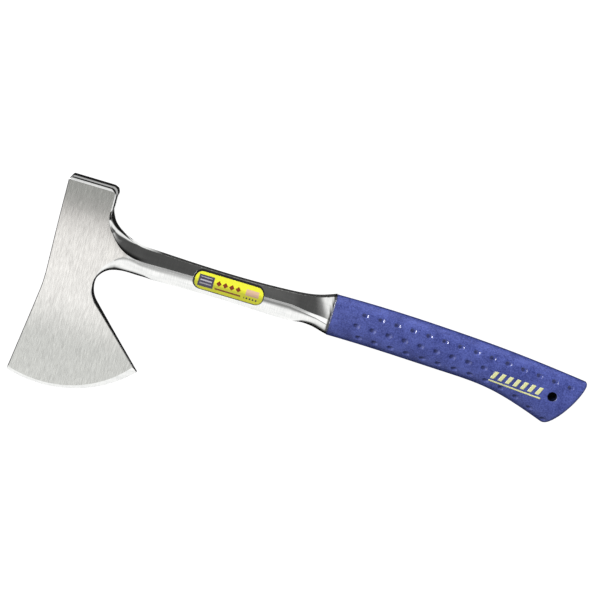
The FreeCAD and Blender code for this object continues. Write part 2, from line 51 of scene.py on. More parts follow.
# Poll, front edge and cutting edge
poll_rise = 49.0
poll_width = 37.1
poll_bevel = 1.6
poll_front_round = 2.0
poll_rear_round = 5.5
front_straight_drop = 34.5
front_lean_angle = 8.4
front_blend_radius = 130.0
front_chamfer = 0.3
rear_chamfer = 1.1
edge_radius = 94.6
edge_centre = np.array([15.2, -22.1])
edge_bevel_angle = 22.0
edge_land_half = 0.15

# Notch, beard and crook
notch_inset = 36.5
notch_drop = 28.0
notch_upper_radius = 16.0
notch_lower_radius = 19.0
notch_exit_angle = 15.0
notch_exit_reach = 8.0
notch_reach_slope = 0.9
notch_flat_half = 4.6
beard_angle = 44.6
beard_chamfer = 0.45
crook_rise = 33.4
crook_radius = 16.0
crook_exit_angle = 35.0
crook_reach = 4.2
crook_reach_slope = 0.5
crook_flat_half = 6.3
crook_round_end_run = 61.0

# Cheek: the heights of its breaks and the half thickness at each, with blends between the faces
cheek_rises = [-118.0, -59.0, 14.4, 49.0]
cheek_halves = [0.9, 2.95, 9.5, 9.5]
cheek_blend_radius = 400.0
ridge_cross_ease = 0.25

# Shaft, by distance: its edges, the ridge on its sides and the flats along its edges
shaft_runs = [70.0, 150.0, 184.0, 203.0, 215.0]
shaft_tops = [10.9, 9.5, 11.1, 13.9, 18.2]
shaft_bottoms = [-11.3, -10.35, -10.5, -10.4, -13.2]
neck_run = 70.0
neck_slope_angle = 2.0
collar_run = 215.0
collar_lip_angle = 22.0
ridge_runs = [36.5, 56.0, 70.0, 150.0, 184.0, 203.0, 215.0]
ridge_halves = [9.5, 8.3, 7.6, 7.0, 7.4, 8.7, 10.8]
ridge_rises = [1.4, 1.4, 0.5, 1.6, 2.2, -0.4, -3.5]
ridge_strip_half = 0.9
ridge_tip_run = 56.0
flat_runs = [53.5, 70.0, 184.0, 203.0, 215.0]
flat_halves = [3.7, 2.8, 2.8, 3.5, 4.2]
throat_run = 53.5
throat_reach = 8.3
throat_lower_reach = 12.0
throat_lower_flat_half = 2.8

# Rounds along the forging's edges and creases
poll_edge_round = 0.2
shaft_edge_round = 0.04
crook_edge_round = 4.5
front_edge_round = 0.1
notch_edge_round = 5.0
lower_round_runs = [62.0, 80.0, 188.0, 208.0]
lower_round_sizes = [5.0, 0.04, 0.04, 8.0]
crease_round = 0.15
poll_corner_foot_round = 1.0

# How much of a narrow wall, flank or cheek the rounds may take
edge_wall_share = 0.85
edge_flank_share = 0.8
long_edge_flank_share = 0.7
crease_flank_share = 0.4
crease_cheek_share = 0.45

# Middle line of the head that the outline's samples face, and how many samples its stretches have
spine_top = np.array([18.5, 31.0])
spine_upper = np.array([18.5, 12.0])
crotch = np.array([18.0, -5.0])
throat = np.array([45.0, 0.0])
spine_notch = np.array([17.5, -25.0])
spine_beard = np.array([19.0, -40.0])
spine_foot = np.array([30.0, -84.0])
poll_count = 10
poll_top_count = 14
poll_round_count = 12
fillet_count = 24
runout_count = 20
beard_count = 50
edge_count = 90
shaft_count = 150
shaft_crowding = 1.3

# Painted shade on the forging, by distance, and the heights above which the upper and lower ones lie
# These dark lines stand in for dark reflections along the creases and edges, and for the shadow in the gap
# at the collar
crook_crease_dark = ([36.0, 40.0, 64.0, 72.0], [0.0, 1.0, 1.0, 0.0])
lower_crease_dark = ([47.99, 48.0, 120.0, 160.0], [0.0, 0.6, 0.45, 0.8])
top_edge_dark = ([70.0, 82.0, 198.0, 206.0], [0.0, 0.35, 0.35, 0.0])
notch_edge_dark = ([38.0, 44.0, 66.0, 78.0], [0.0, 1.0, 1.0, 0.0])
flare_edge_dark = ([192.0, 200.0], [0.0, 1.0])
collar_dark = ([213.2, 213.6], [0.0, 1.0])
edge_dark_fade = np.array([1, 1, 1, 1, 1, 0.7, 0.3, 0])[:, None]
front_dark = 1.2
upper_dark_rise = 2.0
lower_dark_rise = -20.0

# Tang inside the grip
tang_length = 158.0
tang_start_depth = 21.0
tang_end_depth = 15.0
tang_start_half = 4.5
tang_end_half = 3.0
tang_rise = 2.3
tang_end_drop = 3.0
tang_root = 4.0
tang_power = 0.35
cavity_gap = 0.25

# Grip, by distance from the collar
grip_runs = [0.0, 24.0, 92.0, 128.0, 160.0, 204.0]
grip_tops = [18.4, 18.7, 17.15, 15.25, 12.65, 7.9]
grip_bottoms = [-13.3, -13.2, -14.75, -17.2, -25.7, -42.0]
grip_halves = [11.2, 12.0, 12.5, 12.2, 11.7, 10.8]
grip_power = 2.35
grip_shrink = 0.03
grip_front_round = 0.7
grip_round_count = 220
grip_along_count = 330
# Painted shade on the grip: the front rim rows by the collar's gap, and a line all round its edge
rim_dark = np.array([0.9, 0.9, 0.9, 0.6])[:, None]
silhouette_shade_half = 1.6
silhouette_shade_fade = 0.8
silhouette_shade_dark = 0.6
butt_apex_run = 189.9
butt_apex_drop = 13.7
butt_lean_angle = 30.6
butt_bulge_radius = 110.0
butt_rim_round = 3.0
butt_shrink = 0.25
hang_hole_radius = 3.55
hang_hole_round = 0.5
hang_hole_run = 175.4
hang_hole_drop = 6.8
hang_hole = np.array([collar_run + hang_hole_run, -hang_hole_drop])

# Pits on the grip
pit_pitch = 12.5
pit_radius = 2.2
pit_length = 1.4
pit_depth = 1.1
pit_rim_ease = 0.06
# Painted shade in the pits: how dark their middle is, and how fast that grows towards the collar side
pit_dark_middle = 0.65
pit_dark_slope = 0.4
upper_row_inset = 6.8
upper_row_run = 24.3
upper_row_count = 14
middle_row_run = 20.1
middle_row_count = 9
lower_row_inset = 7.1
lower_row_turn_run = 147.0
lower_row_end_inset = 0.8
lower_row_run = 24.1
lower_row_count = 13

# Film label, and its print: left, right, bottom and top of each block from the film's middle
label_run = 135.5
label_rise = 1.2
label_length = 55.0
label_width = 15.6
label_corner = 6.5
label_thickness = 0.3
violet_block = (-23.3, -11.5, -4.8, 4.2)
striped_block = (-21.9, -12.9, -3.6, 3.0)
stripe_pitch = 2.6
stripe_share = 0.4
diamond_start = -9.9
diamond_end = 10.1
diamond_rise = 0.9
diamond_pitch = 5.0
diamond_reach = 2.1
brown_line = (-9.9, 10.1, -4.4, -3.1)
peach_band = (13.5, 23.5, -1.6, 3.2)
dashed_block = (12.5, 23.5, -4.6, -3.2)
dash_pitch = 2.4
dash_share = 0.55
border_width = 1.1
border_shift = 0.4

# Printed mark
mark_run = 147.0
mark_drop = 4.2
mark_tilt_angle = -3.5
mark_bar_count = 7
mark_bar_pitch = 5.9
mark_bar_width = 3.0
mark_bar_height = 6.2
mark_bar_slant = 2.2
mark_line_gap = 1.4
mark_line_width = 1.2
mark_thickness = 0.2

# Lights and camera: distances from what they look at, that point, and how the camera leans and rolls
light_distance = 1.5
camera_distance = 1.4
camera_target = np.array([-0.013178, 0.040851, 0.012545])
camera_lean_angle = 16.0
camera_roll_angle = 16.6
camera_lens = 112.58


# Curves

def heading(angle):
    """Unit vector in the middle plane at an angle in degrees."""
    angle = np.radians(angle)
    return np.stack([np.cos(angle), np.sin(angle)], -1)


def shares(count):
    """Even shares from nought up to but not with one."""
    return np.arange(count) / count


def between(first, last, share):
    """What lies a share of the way from the first to the last."""
    return first + share * (last - first)


def stretch(start, end, count):
    """Even places from one point up to but not with another."""
    return between(start, end, shares(count)[:, None])


def legs(*stops):
    """Even places along straight legs, from points with the count of places between each two."""
    starts = range(0, len(stops) - 2, 2)
    return np.concatenate([stretch(stops[i], stops[i + 2], stops[i + 1]) for i in starts])


def smooth_curve(runs, values, start_slope=None, end_slope=None):
    """Function for the cubic spline through the values. Its slopes at the knots come from setting the
    second derivatives of neighbouring cubics equal, with each end either at a given slope or free."""
    runs, values = np.array(runs, float), np.array(values, float)
    step = np.diff(runs)
    rate = np.diff(values) / step
    count = len(runs)
    system = np.zeros((count, count))
    right = np.zeros(count)
    inner = np.arange(1, count - 1)
    system[inner, inner - 1] = 1 / step[:-1]
    system[inner, inner] = 2 / step[:-1] + 2 / step[1:]
    system[inner, inner + 1] = 1 / step[1:]
    right[inner] = 3 * (rate[:-1] / step[:-1] + rate[1:] / step[1:])
    for end, beside, slope, end_rate in ((0, 1, start_slope, rate[0]), (-1, -2, end_slope, rate[-1])):
        free = slope is None
        system[end, end] = 2 if free else 1
        system[end, beside] = 1 if free else 0
        right[end] = 3 * end_rate if free else slope
    slopes = np.linalg.solve(system, right)

    def curve(at):
        at = np.asarray(at, float)
        i = np.clip(np.searchsorted(runs, at) - 1, 0, count - 2)
        t = (at - runs[i]) / step[i]
        ahead = t - 1
        return (
            values[i] * (1 + 2 * t) * ahead ** 2
            + values[i + 1] * (3 - 2 * t) * t ** 2
            + slopes[i] * step[i] * t * ahead ** 2
            + slopes[i + 1] * step[i] * ahead * t ** 2
        )
    return curve


def hermite(start, start_angle, end, end_angle, count):
    """Points of the cubic between two points that leaves and arrives at two angles, with both
    tangents as long as the chord."""
    t = shares(count)[:, None]
    chord = np.linalg.norm(end - start)
    return (
        start * (1 + 2 * t) * (t - 1) ** 2
        + end * (3 - 2 * t) * t ** 2
        + heading(start_angle) * chord * t * (t - 1) ** 2
        + heading(end_angle) * chord * (t - 1) * t ** 2
    )


def bezier(start, corner, end, count):
    """Rows of points round a corner: quadratic curves from start to end that pull to the corner."""
    t = np.linspace(0, 1, count)[:, None, None]
    return start * (1 - t) ** 2 + corner * 2 * t * (1 - t) + end * t ** 2


def superellipse(count, power):
    """Heights and widths, from -1 to 1, round a superellipse from its top: the cosine and the sine,
    each raised to a power with its sign kept."""
    angle = 2 * np.pi * shares(count)
    return [np.sign(side) * np.abs(side) ** power for side in (np.cos(angle), np.sin(angle))]


neck_slope = math.tan(math.radians(neck_slope_angle))
ridge_half_at = smooth_curve(ridge_runs, ridge_halves)
top_at = smooth_curve(shaft_runs, shaft_tops, -neck_slope, math.tan(math.radians(collar_lip_angle)))
bottom_at = smooth_curve(
    shaft_runs, shaft_bottoms, neck_slope, -math.tan(math.radians(collar_lip_angle / 2)))
grip_top_at = smooth_curve(grip_runs, grip_tops)
grip_bottom_at = smooth_curve(grip_runs, grip_bottoms)
grip_half_at = smooth_curve(grip_runs, grip_halves)


def ridge_rise_at(run):
    return np.interp(run, ridge_runs, ridge_rises)


def cheek_half_at(rise):
    """Half thickness of the head by height: three straight faces, with a parabola round each break
    that has the blend's radius at its middle."""
    half = np.interp(rise, cheek_rises, cheek_halves)
    slopes = np.diff(cheek_halves) / np.diff(cheek_rises)
    for middle, change in zip(cheek_rises[1:3], np.diff(slopes)):
        reach = cheek_blend_radius * abs(change) / 2
        inside = np.clip(reach - np.abs(rise - middle), 0, None)
        half = half + change * inside ** 2 / (4 * reach)
    return half


def head_half_at(points):
    """Half thickness over the cheeks and the ridge: the lower of the two, eased where they cross. The
    ridge counts from its start."""
    cheek = cheek_half_at(points[..., 1])
    above_cheek = cheek_halves[-1] + 1
    ridge = np.where(points[..., 0] < ridge_runs[0], above_cheek, ridge_half_at(points[..., 0]))
    return (cheek + ridge - np.hypot(cheek - ridge, ridge_cross_ease)) / 2


# Meshes

class Shell:
    """Points, in the drawing frame, and faces that are gathered for one mesh."""

    def __init__(self):
        self.points = np.zeros((0, 3))
        self.faces = []

    def grid(self, points, closed=False, flipped=False, keep=...):
        """Adds a grid of points with its four-sided faces, or those that are kept, closed round the
        rows' ends or not. Returns the numbers of its points."""
        index = len(self.points) + np.arange(points[..., 0].size).reshape(points.shape[:2])
        self.points = np.concatenate([self.points, points.reshape(-1, 3)])
        ring = np.column_stack([index, index[:, 0]]) if closed else index
        faces = np.stack([ring[:-1, :-1], ring[:-1, 1:], ring[1:, 1:], ring[1:, :-1]], -1)
        faces = faces[keep].reshape(-1, 4)
        self.faces += (faces[:, ::-1] if flipped else faces).tolist()
        return index

    def cap(self, *rims):
        """Adds one face round the points whose numbers are given in order."""
        self.faces.append(np.concatenate(rims).tolist())

    def piece(self, name, material, **attributes):
        """New object in the model's frame. Attributes hold for its first points, and are nought on
        the rest."""
        mesh = bpy.data.meshes.new(name)
        mesh.from_pydata(((self.points + to_model) * metres).tolist(), [], self.faces)
        mesh.validate()
        mesh.materials.append(material)
        for label, values in attributes.items():
            padded = np.zeros(len(mesh.vertices), np.float32)
            padded[:len(values)] = values
            mesh.attributes.new(label, "FLOAT", "POINT").data.foreach_set("value", padded)
        piece = bpy.data.objects.new(name, mesh)
        bpy.context.scene.collection.objects.link(piece)
        return piece


def finish_piece(piece, merge, node):
    """Merges points that are closer than a distance in millimetres, drops faces with no area, turns
    the faces outwards, shades it smooth, hangs it from the root body and hides the CAD node it replaces."""
    work = bmesh.new()
    work.from_mesh(piece.data)
    bmesh.ops.remove_doubles(work, verts=work.verts, dist=merge * metres)
    bmesh.ops.dissolve_degenerate(work, edges=work.edges, dist=merge * metres / 4)
    bmesh.ops.recalc_face_normals(work, faces=work.faces)
    work.to_mesh(piece.data)
    work.free()
    piece.data.shade_smooth()
    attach(piece, "root")
    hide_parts(node)


# Forging

def outline_part(points, outward, reach, spine, low=None, edge_round=poll_edge_round, foot=None):
    """One stretch of the forging's outline: its points, the ways out of it, the flank's reach inwards
    from it, the points of the middle line that it faces, half the wall's height, which is the cheek's
    less the reach unless it is given, the round of the edge, and the flank's inner side, which is
    straight inwards unless it is given."""
    count = len(points)
    if low is None:
        low = cheek_half_at(points[:, 1]) - reach
    if foot is None:
        foot = points - outward * np.broadcast_to(reach, count)[:, None]
    pairs = [np.broadcast_to(pair, (count, 2)) for pair in (points, outward, spine, foot)]
    sizes = [np.broadcast_to(size, count) for size in (low, edge_round)]
    return np.column_stack(pairs + sizes)


def shaft_part(side, share):
    """The shaft's top or bottom edge, by shares from the collar to the neck that crowd the collar."""
    run = collar_run + (neck_run - collar_run) * share ** shaft_crowding
    edge_at = top_at if side > 0 else bottom_at
    slope = (edge_at(run + 0.01) - edge_at(run - 0.01)) / 0.02
    outward = side * np.stack([-slope, np.ones(len(run))], -1) / np.sqrt(1 + slope ** 2)[:, None]
    rise, ridge = edge_at(run), ridge_rise_at(run)
    points, spine = np.stack([run, rise], -1), np.stack([run, ridge], -1)
    reach = side * (rise - ridge) - ridge_strip_half
    flat = np.interp(run, flat_runs, flat_halves)
    rounds = shaft_edge_round if side > 0 else np.interp(run, lower_round_runs, lower_round_sizes)
    return outline_part(points, outward, reach, spine, flat, rounds)


def runout_part(points, reach_at, low_at, spine, rounds):
    """Stretch between a fillet and the shaft, with the flank and the edge's round by distance."""
    ways = np.gradient(points, axis=0)
    outward = np.stack([ways[:, 1], -ways[:, 0]], -1) / np.linalg.norm(ways, axis=1)[:, None]
    run = points[:, 0]
    return outline_part(points, outward, reach_at(run), spine, low_at(run), np.interp(run, *rounds))


def circle_crossing(start, way):
    """Point where a ray from inside the cutting edge's circle meets it."""
    offset = start - edge_centre
    along = offset @ way
    return start + way * (math.sqrt(along ** 2 + edge_radius ** 2 - offset @ offset) - along)


def edge_reach(points):
    """Width of the cutting edge's bevel: where the bevel, rising inwards, reaches the cheek."""
    offset = points - edge_centre
    outward = offset / np.linalg.norm(offset, axis=-1, keepdims=True)
    reach = 0.0
    for _ in range(20):
        rise = edge_centre[1] + outward[..., 1] * (edge_radius - reach)
        reach = (cheek_half_at(rise) - edge_land_half) / math.tan(math.radians(edge_bevel_angle))
    return reach


def mitred_foot(points, reach, length, last):
    """Inner side of a chamfer whose far end stops at a mitre: places past the last length are held
    at the last one before it."""
    inner = points - reach
    held = np.argmax(np.where(length <= last, length, -1))
    return np.where((length > last)[:, None], inner[held], inner)


def forging_outline():
    """Stretches of the outline, anticlockwise from the collar's upper corner round the head to its
    lower corner. Samples that face each other across the middle line share its points."""
    neck = np.array([neck_run, ridge_rise_at(neck_run)])
    tip = np.array([ridge_tip_run, ridge_rise_at(ridge_tip_run)])
    parts = [shaft_part(1, shares(shaft_count))]

    # Crook: the run out from the fillet, then the fillet up to the poll's rear face
    crook_centre = np.array([poll_width + crook_radius, crook_rise])
    crook_exit = crook_centre + heading(270 - crook_exit_angle) * crook_radius
    neck_top = np.array([neck_run, shaft_tops[0]])
    points = hermite(
        neck_top, 180 - neck_slope_angle, crook_exit, 180 - crook_exit_angle, 2 * runout_count)
    knots = [crook_exit[0], throat_run, neck_run]
    reaches = [crook_reach, throat_reach, neck_top[1] - neck[1] - ridge_strip_half]
    reach_at = smooth_curve(knots, reaches, crook_reach_slope, 0)
    low_at = smooth_curve(knots, [crook_flat_half, *flat_halves[:2]])
    spine = legs(neck, runout_count, tip, runout_count, throat)
    rounds = ([crook_exit[0], crook_round_end_run], [crook_edge_round, shaft_edge_round])
    parts.append(runout_part(points, reach_at, low_at, spine, rounds))
    share = shares(2 * fillet_count)
    way = heading(between(270 - crook_exit_angle, 180, share))
    reach = between(rear_chamfer, crook_reach, (1 - share) ** 1.4)
    spine = legs(throat, fillet_count, crotch, fillet_count, spine_upper)
    low = between(crook_flat_half, cheek_halves[-1] - rear_chamfer, share ** 3)
    rounds = between(crook_edge_round, poll_edge_round, share)
    parts.append(outline_part(crook_centre + way * crook_radius, -way, reach, spine, low, rounds))

    # Poll: rear face, rounded corner, striking face and front corner
    rear_centre = np.array([poll_width, poll_rise]) - poll_rear_round
    rear_start, rear_end = np.array([poll_width, crook_rise]), np.array([poll_width, rear_centre[1]])
    points = stretch(rear_start, rear_end, poll_count)
    spine = stretch(spine_upper, spine_top, poll_count)
    parts.append(outline_part(points, np.array([1, 0]), rear_chamfer, spine))
    share = shares(poll_round_count)
    ease = share ** 2 * (3 - 2 * share)
    way = heading(90 * share)
    foot_corner = np.array([poll_width - rear_chamfer, poll_rise - poll_bevel])
    foot = foot_corner + (way - 1) * poll_corner_foot_round
    reach = between(rear_chamfer, poll_bevel, ease)
    parts.append(outline_part(rear_centre + way * poll_rear_round, way, reach, spine_top, foot=foot))
    face_start = np.array([rear_centre[0], poll_rise])
    points = stretch(face_start, np.array([poll_front_round, poll_rise]), poll_top_count)
    parts.append(outline_part(points, np.array([0, 1]), poll_bevel, spine_top))
    front_centre = np.array([0.0, poll_rise]) + poll_front_round * np.array([1, -1])
    way = heading(90 + 90 * share)
    reach = between(poll_bevel, front_chamfer, ease)
    parts.append(outline_part(front_centre + way * poll_front_round, way, reach, spine_top))

    # Front edge: straight down, then leaning forward to the toe, with a parabola between the lines
    front_break = np.array([0.0, -front_straight_drop])
    lean = heading(-90 - front_lean_angle)
    toe = circle_crossing(front_break, lean)
    spine = legs(spine_top, poll_count, spine_upper, fillet_count, crotch, fillet_count,
                 spine_notch, fillet_count, spine_beard, beard_count, spine_foot)
    steps = np.linalg.norm(np.diff(spine, axis=0, append=spine_foot[None]), axis=1)
    straight = front_centre[1] + front_straight_drop
    total = straight + np.linalg.norm(toe - front_break)
    length = np.concatenate([[0], np.cumsum(steps)[:-1]]) / steps.sum() * total
    past = length - straight
    blend = front_blend_radius * math.tan(math.radians(front_lean_angle) / 2)
    outward = heading(180 - front_lean_angle * np.clip((past + blend) / (2 * blend), 0, 1))
    sag = np.clip(blend - np.abs(past), 0, None) ** 2 / (2 * front_blend_radius)
    along = np.where((past < 0)[:, None], np.array([0, -1]), lean)
    points = front_break + along * past[:, None] + outward * sag[:, None]
    foot = mitred_foot(points, outward * front_chamfer, length, total - edge_reach(toe))
    rounds = np.interp(points[:, 1], [-poll_rise, 0], [shaft_edge_round, front_edge_round])
    parts.append(outline_part(points, outward, front_chamfer, spine, None, rounds, foot))

    # Cutting edge from the toe to the heel, then the beard up to the notch
    lower_centre = np.array([notch_inset + notch_lower_radius, -notch_drop])
    beard_way = heading(beard_angle - 90)
    beard_start = lower_centre + heading(180 + beard_angle) * notch_lower_radius
    heel = circle_crossing(beard_start, beard_way)
    ends = [math.degrees(math.atan2(*(end - edge_centre)[::-1])) for end in (toe, heel)]
    angle = between(*ends, shares(edge_count))
    way = heading(angle)
    points = edge_centre + way * edge_radius
    reach = edge_reach(points)
    margin = np.degrees(np.array([front_chamfer, beard_chamfer]) / edge_radius)
    mitred = heading(np.clip(angle, ends[0] + margin[0], ends[1] - margin[1]))
    foot = edge_centre + mitred * (edge_radius - reach)[:, None]
    parts.append(outline_part(points, way, reach, spine_foot, edge_land_half, edge_land_half, foot))
    points = stretch(heel, beard_start, beard_count)
    outward = np.array([-beard_way[1], beard_way[0]])
    spine = stretch(spine_foot, spine_beard, beard_count)
    length = np.linalg.norm(points - beard_start, axis=1)
    foot = mitred_foot(points, outward * beard_chamfer, length, length[0] - edge_reach(heel))
    parts.append(outline_part(points, outward, beard_chamfer, spine, foot=foot))

    # Notch, then its run out and the bottom of the shaft to the collar
    way = heading(between(180 + beard_angle, 180, shares(fillet_count)))
    spine = stretch(spine_beard, spine_notch, fillet_count)
    parts.append(outline_part(lower_centre + way * notch_lower_radius, -way, beard_chamfer, spine))
    upper_centre = np.array([notch_inset + notch_upper_radius, -notch_drop])
    share = shares(2 * fillet_count)
    way = heading(between(180, 90 + notch_exit_angle, share))
    reach = between(beard_chamfer, notch_exit_reach, share ** 2)
    spine = legs(spine_notch, fillet_count, crotch, fillet_count, throat)
    low = between(cheek_half_at(-notch_drop) - beard_chamfer, notch_flat_half, share)
    rounds = between(poll_edge_round, notch_edge_round, share)
    parts.append(outline_part(upper_centre + way * notch_upper_radius, -way, reach, spine, low, rounds))
    notch_exit = upper_centre + heading(90 + notch_exit_angle) * notch_upper_radius
    neck_bottom = np.array([neck_run, shaft_bottoms[0]])
    points = hermite(notch_exit, notch_exit_angle, neck_bottom, neck_slope_angle, 2 * runout_count)
    knots = [notch_exit[0], throat_run, neck_run]
    reaches = [notch_exit_reach, throat_lower_reach, neck[1] - neck_bottom[1] - ridge_strip_half]
    reach_at = smooth_curve(knots, reaches, notch_reach_slope, 0)
    low_at = smooth_curve(knots, [notch_flat_half, throat_lower_flat_half, flat_halves[1]], None, 0)
    spine = legs(throat, runout_count, tip, runout_count, neck)
    parts.append(runout_part(points, reach_at, low_at, spine, (lower_round_runs, lower_round_sizes)))
    parts.append(shaft_part(-1, np.linspace(1, 0, shaft_count + 1)))
    return np.concatenate(parts)


def raised(plan):
    """Places on the head and the shaft, lifted to their half thickness."""
    return np.concatenate([plan, head_half_at(plan)[..., None]], -1)


def forging_points():
    """Grid of points, rows from the middle plane up the wall, over its rounded edge, up the flank,
    over the rounded crease and across the cheek to the middle line, for every sample of the outline.
    Heights on the cheek come from its thickness, and the flank is straight between wall and cheek.
    Returns the grid, how brushed each point is, and how much painted shade each point gets."""
    outline = forging_outline()
    point, outward, spine, foot = (outline[:, first:first + 2] for first in (0, 2, 4, 6))
    low, edge_round = outline[:, 8:9], outline[:, 9:10]
    edge, crease = np.hstack([point, low]), raised(foot)
    flank = crease - edge
    flank_length = np.linalg.norm(flank, axis=1, keepdims=True)
    inwards = spine - foot
    width = np.linalg.norm(inwards, axis=1, keepdims=True)
    up_flank, over_cheek = flank / flank_length, inwards / width
    wall = np.minimum(edge_round, np.minimum(low * edge_wall_share, flank_length * edge_flank_share))
    longer = wall * (1 + edge_round / notch_edge_round)
    edge_start = edge - np.array([0, 0, 1]) * wall
    edge_end = edge + up_flank * np.minimum(longer, flank_length * long_edge_flank_share)
    crease_start = crease - up_flank * np.minimum(crease_round, flank_length * crease_flank_share)
    after = foot + over_cheek * np.minimum(crease_round, width * crease_cheek_share)
    flank_shares = np.array([0.03, 0.3, 0.7, 0.9, 0.97])[:, None, None]
    across = np.concatenate([[0.01, 0.03], np.linspace(0, 1, 18)[1:]])[:, None, None]
    grid = np.concatenate([
        np.hstack([point, 0 * low])[None],
        bezier(edge_start, edge, edge_end, len(edge_dark_fade)),
        between(edge_end, crease_start, flank_shares),
        bezier(crease_start, crease, raised(after), 5),
        raised(between(after, spine, across)),
    ])
    cheek_row = len(grid) - len(across)

    # Brushed from the crease on, over the head and up to the ridge's tip
    run, rise = grid[..., 0], grid[..., 1]
    brushed = np.zeros(run.shape)
    brushed[cheek_row - 2:] = 1
    before_tip = np.clip((ridge_tip_run + 1 - run) / 2, 0, 1)
    brushed *= np.where(rise > -crook_rise / 2, before_tip, 1)

    # Painted shade along the creases, rounded edges and front edge, and painted shadow at the collar
    upper = (rise > upper_dark_rise) & (outward[:, 1] > 0)
    lower = (rise > lower_dark_rise) & (outward[:, 1] < 0)
    creases = np.interp(run, *crook_crease_dark) * upper + np.interp(run, *lower_crease_dark) * lower
    below = np.interp(run, *notch_edge_dark) + np.interp(run, *flare_edge_dark)
    edges = np.interp(run, *top_edge_dark) * upper + below * lower
    edge_rows, crease_rows = slice(1, 1 + len(edge_dark_fade)), slice(cheek_row - 7, cheek_row)
    shade = np.zeros(run.shape)
    shade[crease_rows] = creases[crease_rows]
    shade[edge_rows] = edges[edge_rows] * edge_dark_fade
    shade[:cheek_row] += front_dark * (outward[:, 0] < -0.95)
    return grid, brushed, np.maximum(shade, np.interp(run, *collar_dark))


def tang_points(skin, root, count):
    """Sections along the tang: superellipses near to rectangles, that taper."""
    up, out = superellipse(64, tang_power)
    share = np.linspace(0, 1, count)[:, None]
    run = collar_run - root + (tang_length + root + skin) * share
    depth = between(tang_start_depth, tang_end_depth, share) / 2 + skin
    half = between(tang_start_half, tang_end_half, share) + skin
    rise = between(tang_rise, -tang_end_drop, share)
    return np.stack([run + 0 * up, rise + depth * up, half * out], -1)


def make_forging(material):
    """Both sides of the head and the shaft, closed at the collar, and the tang as a second shell."""
    grid, brushed, shade = forging_points()
    shell = Shell()
    near = shell.grid(grid)
    far = shell.grid(grid * np.array([1, 1, -1]), flipped=True)
    shell.cap(near[::-1, 0], far[1:, 0], far[-2::-1, -1], near[1:-1, -1])
    tang = shell.grid(tang_points(0, tang_root, 9), closed=True)
    shell.cap(tang[0])
    shell.cap(tang[-1])
    brushed, shade = np.tile(brushed.ravel(), 2), np.tile(shade.ravel(), 2)
    piece = shell.piece("axe_forging", material, brushed=brushed, shade=shade)
    finish_piece(piece, 0.02, "steel_forging")


# Grip

butt_apex = np.array([butt_apex_run - butt_shrink, -butt_apex_drop])
bulge_centre = butt_apex - heading(-butt_lean_angle) * butt_bulge_radius


def grip_section(run, inset=0.0):
    """Middle height, half depth and half thickness of the grip by distance from the collar."""
    top = grip_top_at(run) - grip_shrink - inset
    bottom = grip_bottom_at(run) + grip_shrink + inset
    return (top + bottom) / 2, (top - bottom) / 2, grip_half_at(run) - grip_shrink - inset


def grip_side_at(run, rise):
    """Half thickness of the grip by distance from the poll's front and by height."""
    middle, depth, half = grip_section(run - collar_run)
    up = np.clip(np.abs(rise - middle) / depth, 0, 1)
    return half * (1 - up ** grip_power) ** (1 / grip_power)


def butt_run_at(up, radius, inset):
    """Distance at which a line of the grip meets the bulging end, offset to a radius: found by
    stepping, because its height changes with the distance."""
    run = np.full(np.shape(up), butt_apex_run)
    for _ in range(30):
        middle, depth, _half = grip_section(run, inset)
        rise = middle + up * depth - bulge_centre[1]
        run = bulge_centre[0] + np.sqrt(radius ** 2 - rise ** 2)
    return run


def grip_shell():
    """Rows along the grip from its rounded front rim to its rounded butt rim and in to the middle of
    the butt. A row is a superellipse; its distance grows to the bulging, leaning end by shares."""
    up, out = superellipse(grip_round_count, 2 / grip_power)
    rows = []

    def add_row(run, inset, scale=1.0):
        middle, depth, half = grip_section(run, inset)
        rows.append(np.stack([run, middle + up * scale * depth, out * scale * half], -1))

    for turn in np.radians(np.linspace(0, 90, 4)[:-1]):
        run = np.full(grip_round_count, grip_front_round * (1 - math.cos(turn)))
        add_row(run, grip_front_round * (1 - math.sin(turn)))
    last = butt_run_at(up, butt_bulge_radius - butt_rim_round, 0.0)
    for share in np.linspace(0, 1, grip_along_count):
        add_row(between(grip_front_round, last, share), 0.0)
    for turn in np.radians(np.linspace(0, 90, 10)[1:]):
        radius = butt_bulge_radius - butt_rim_round * (1 - math.sin(turn))
        inset = butt_rim_round * (1 - math.cos(turn))
        add_row(butt_run_at(up, radius, inset), inset)
    for scale in np.linspace(1, 0, 16)[1:]:
        add_row(butt_run_at(up * scale, butt_bulge_radius, butt_rim_round), butt_rim_round, scale)
    return np.array(rows) + np.array([collar_run, 0, 0])


def pit_places():
    """Distance from the collar and height of the middle of each pit."""
    upper = upper_row_run + pit_pitch * np.arange(upper_row_count)
    middle = middle_row_run + pit_pitch * np.arange(middle_row_count)
    lower = lower_row_run + pit_pitch * np.arange(lower_row_count)
    insets = [lower_row_inset, lower_row_inset, lower_row_end_inset]
    inset = np.interp(lower, [0, lower_row_turn_run, grip_runs[-1]], insets)
    rises = np.concatenate([
        grip_top_at(upper) - upper_row_inset,
        grip_section(middle)[0],
        grip_bottom_at(lower) + inset,
    ])
    return np.concatenate([upper, middle, lower]), rises


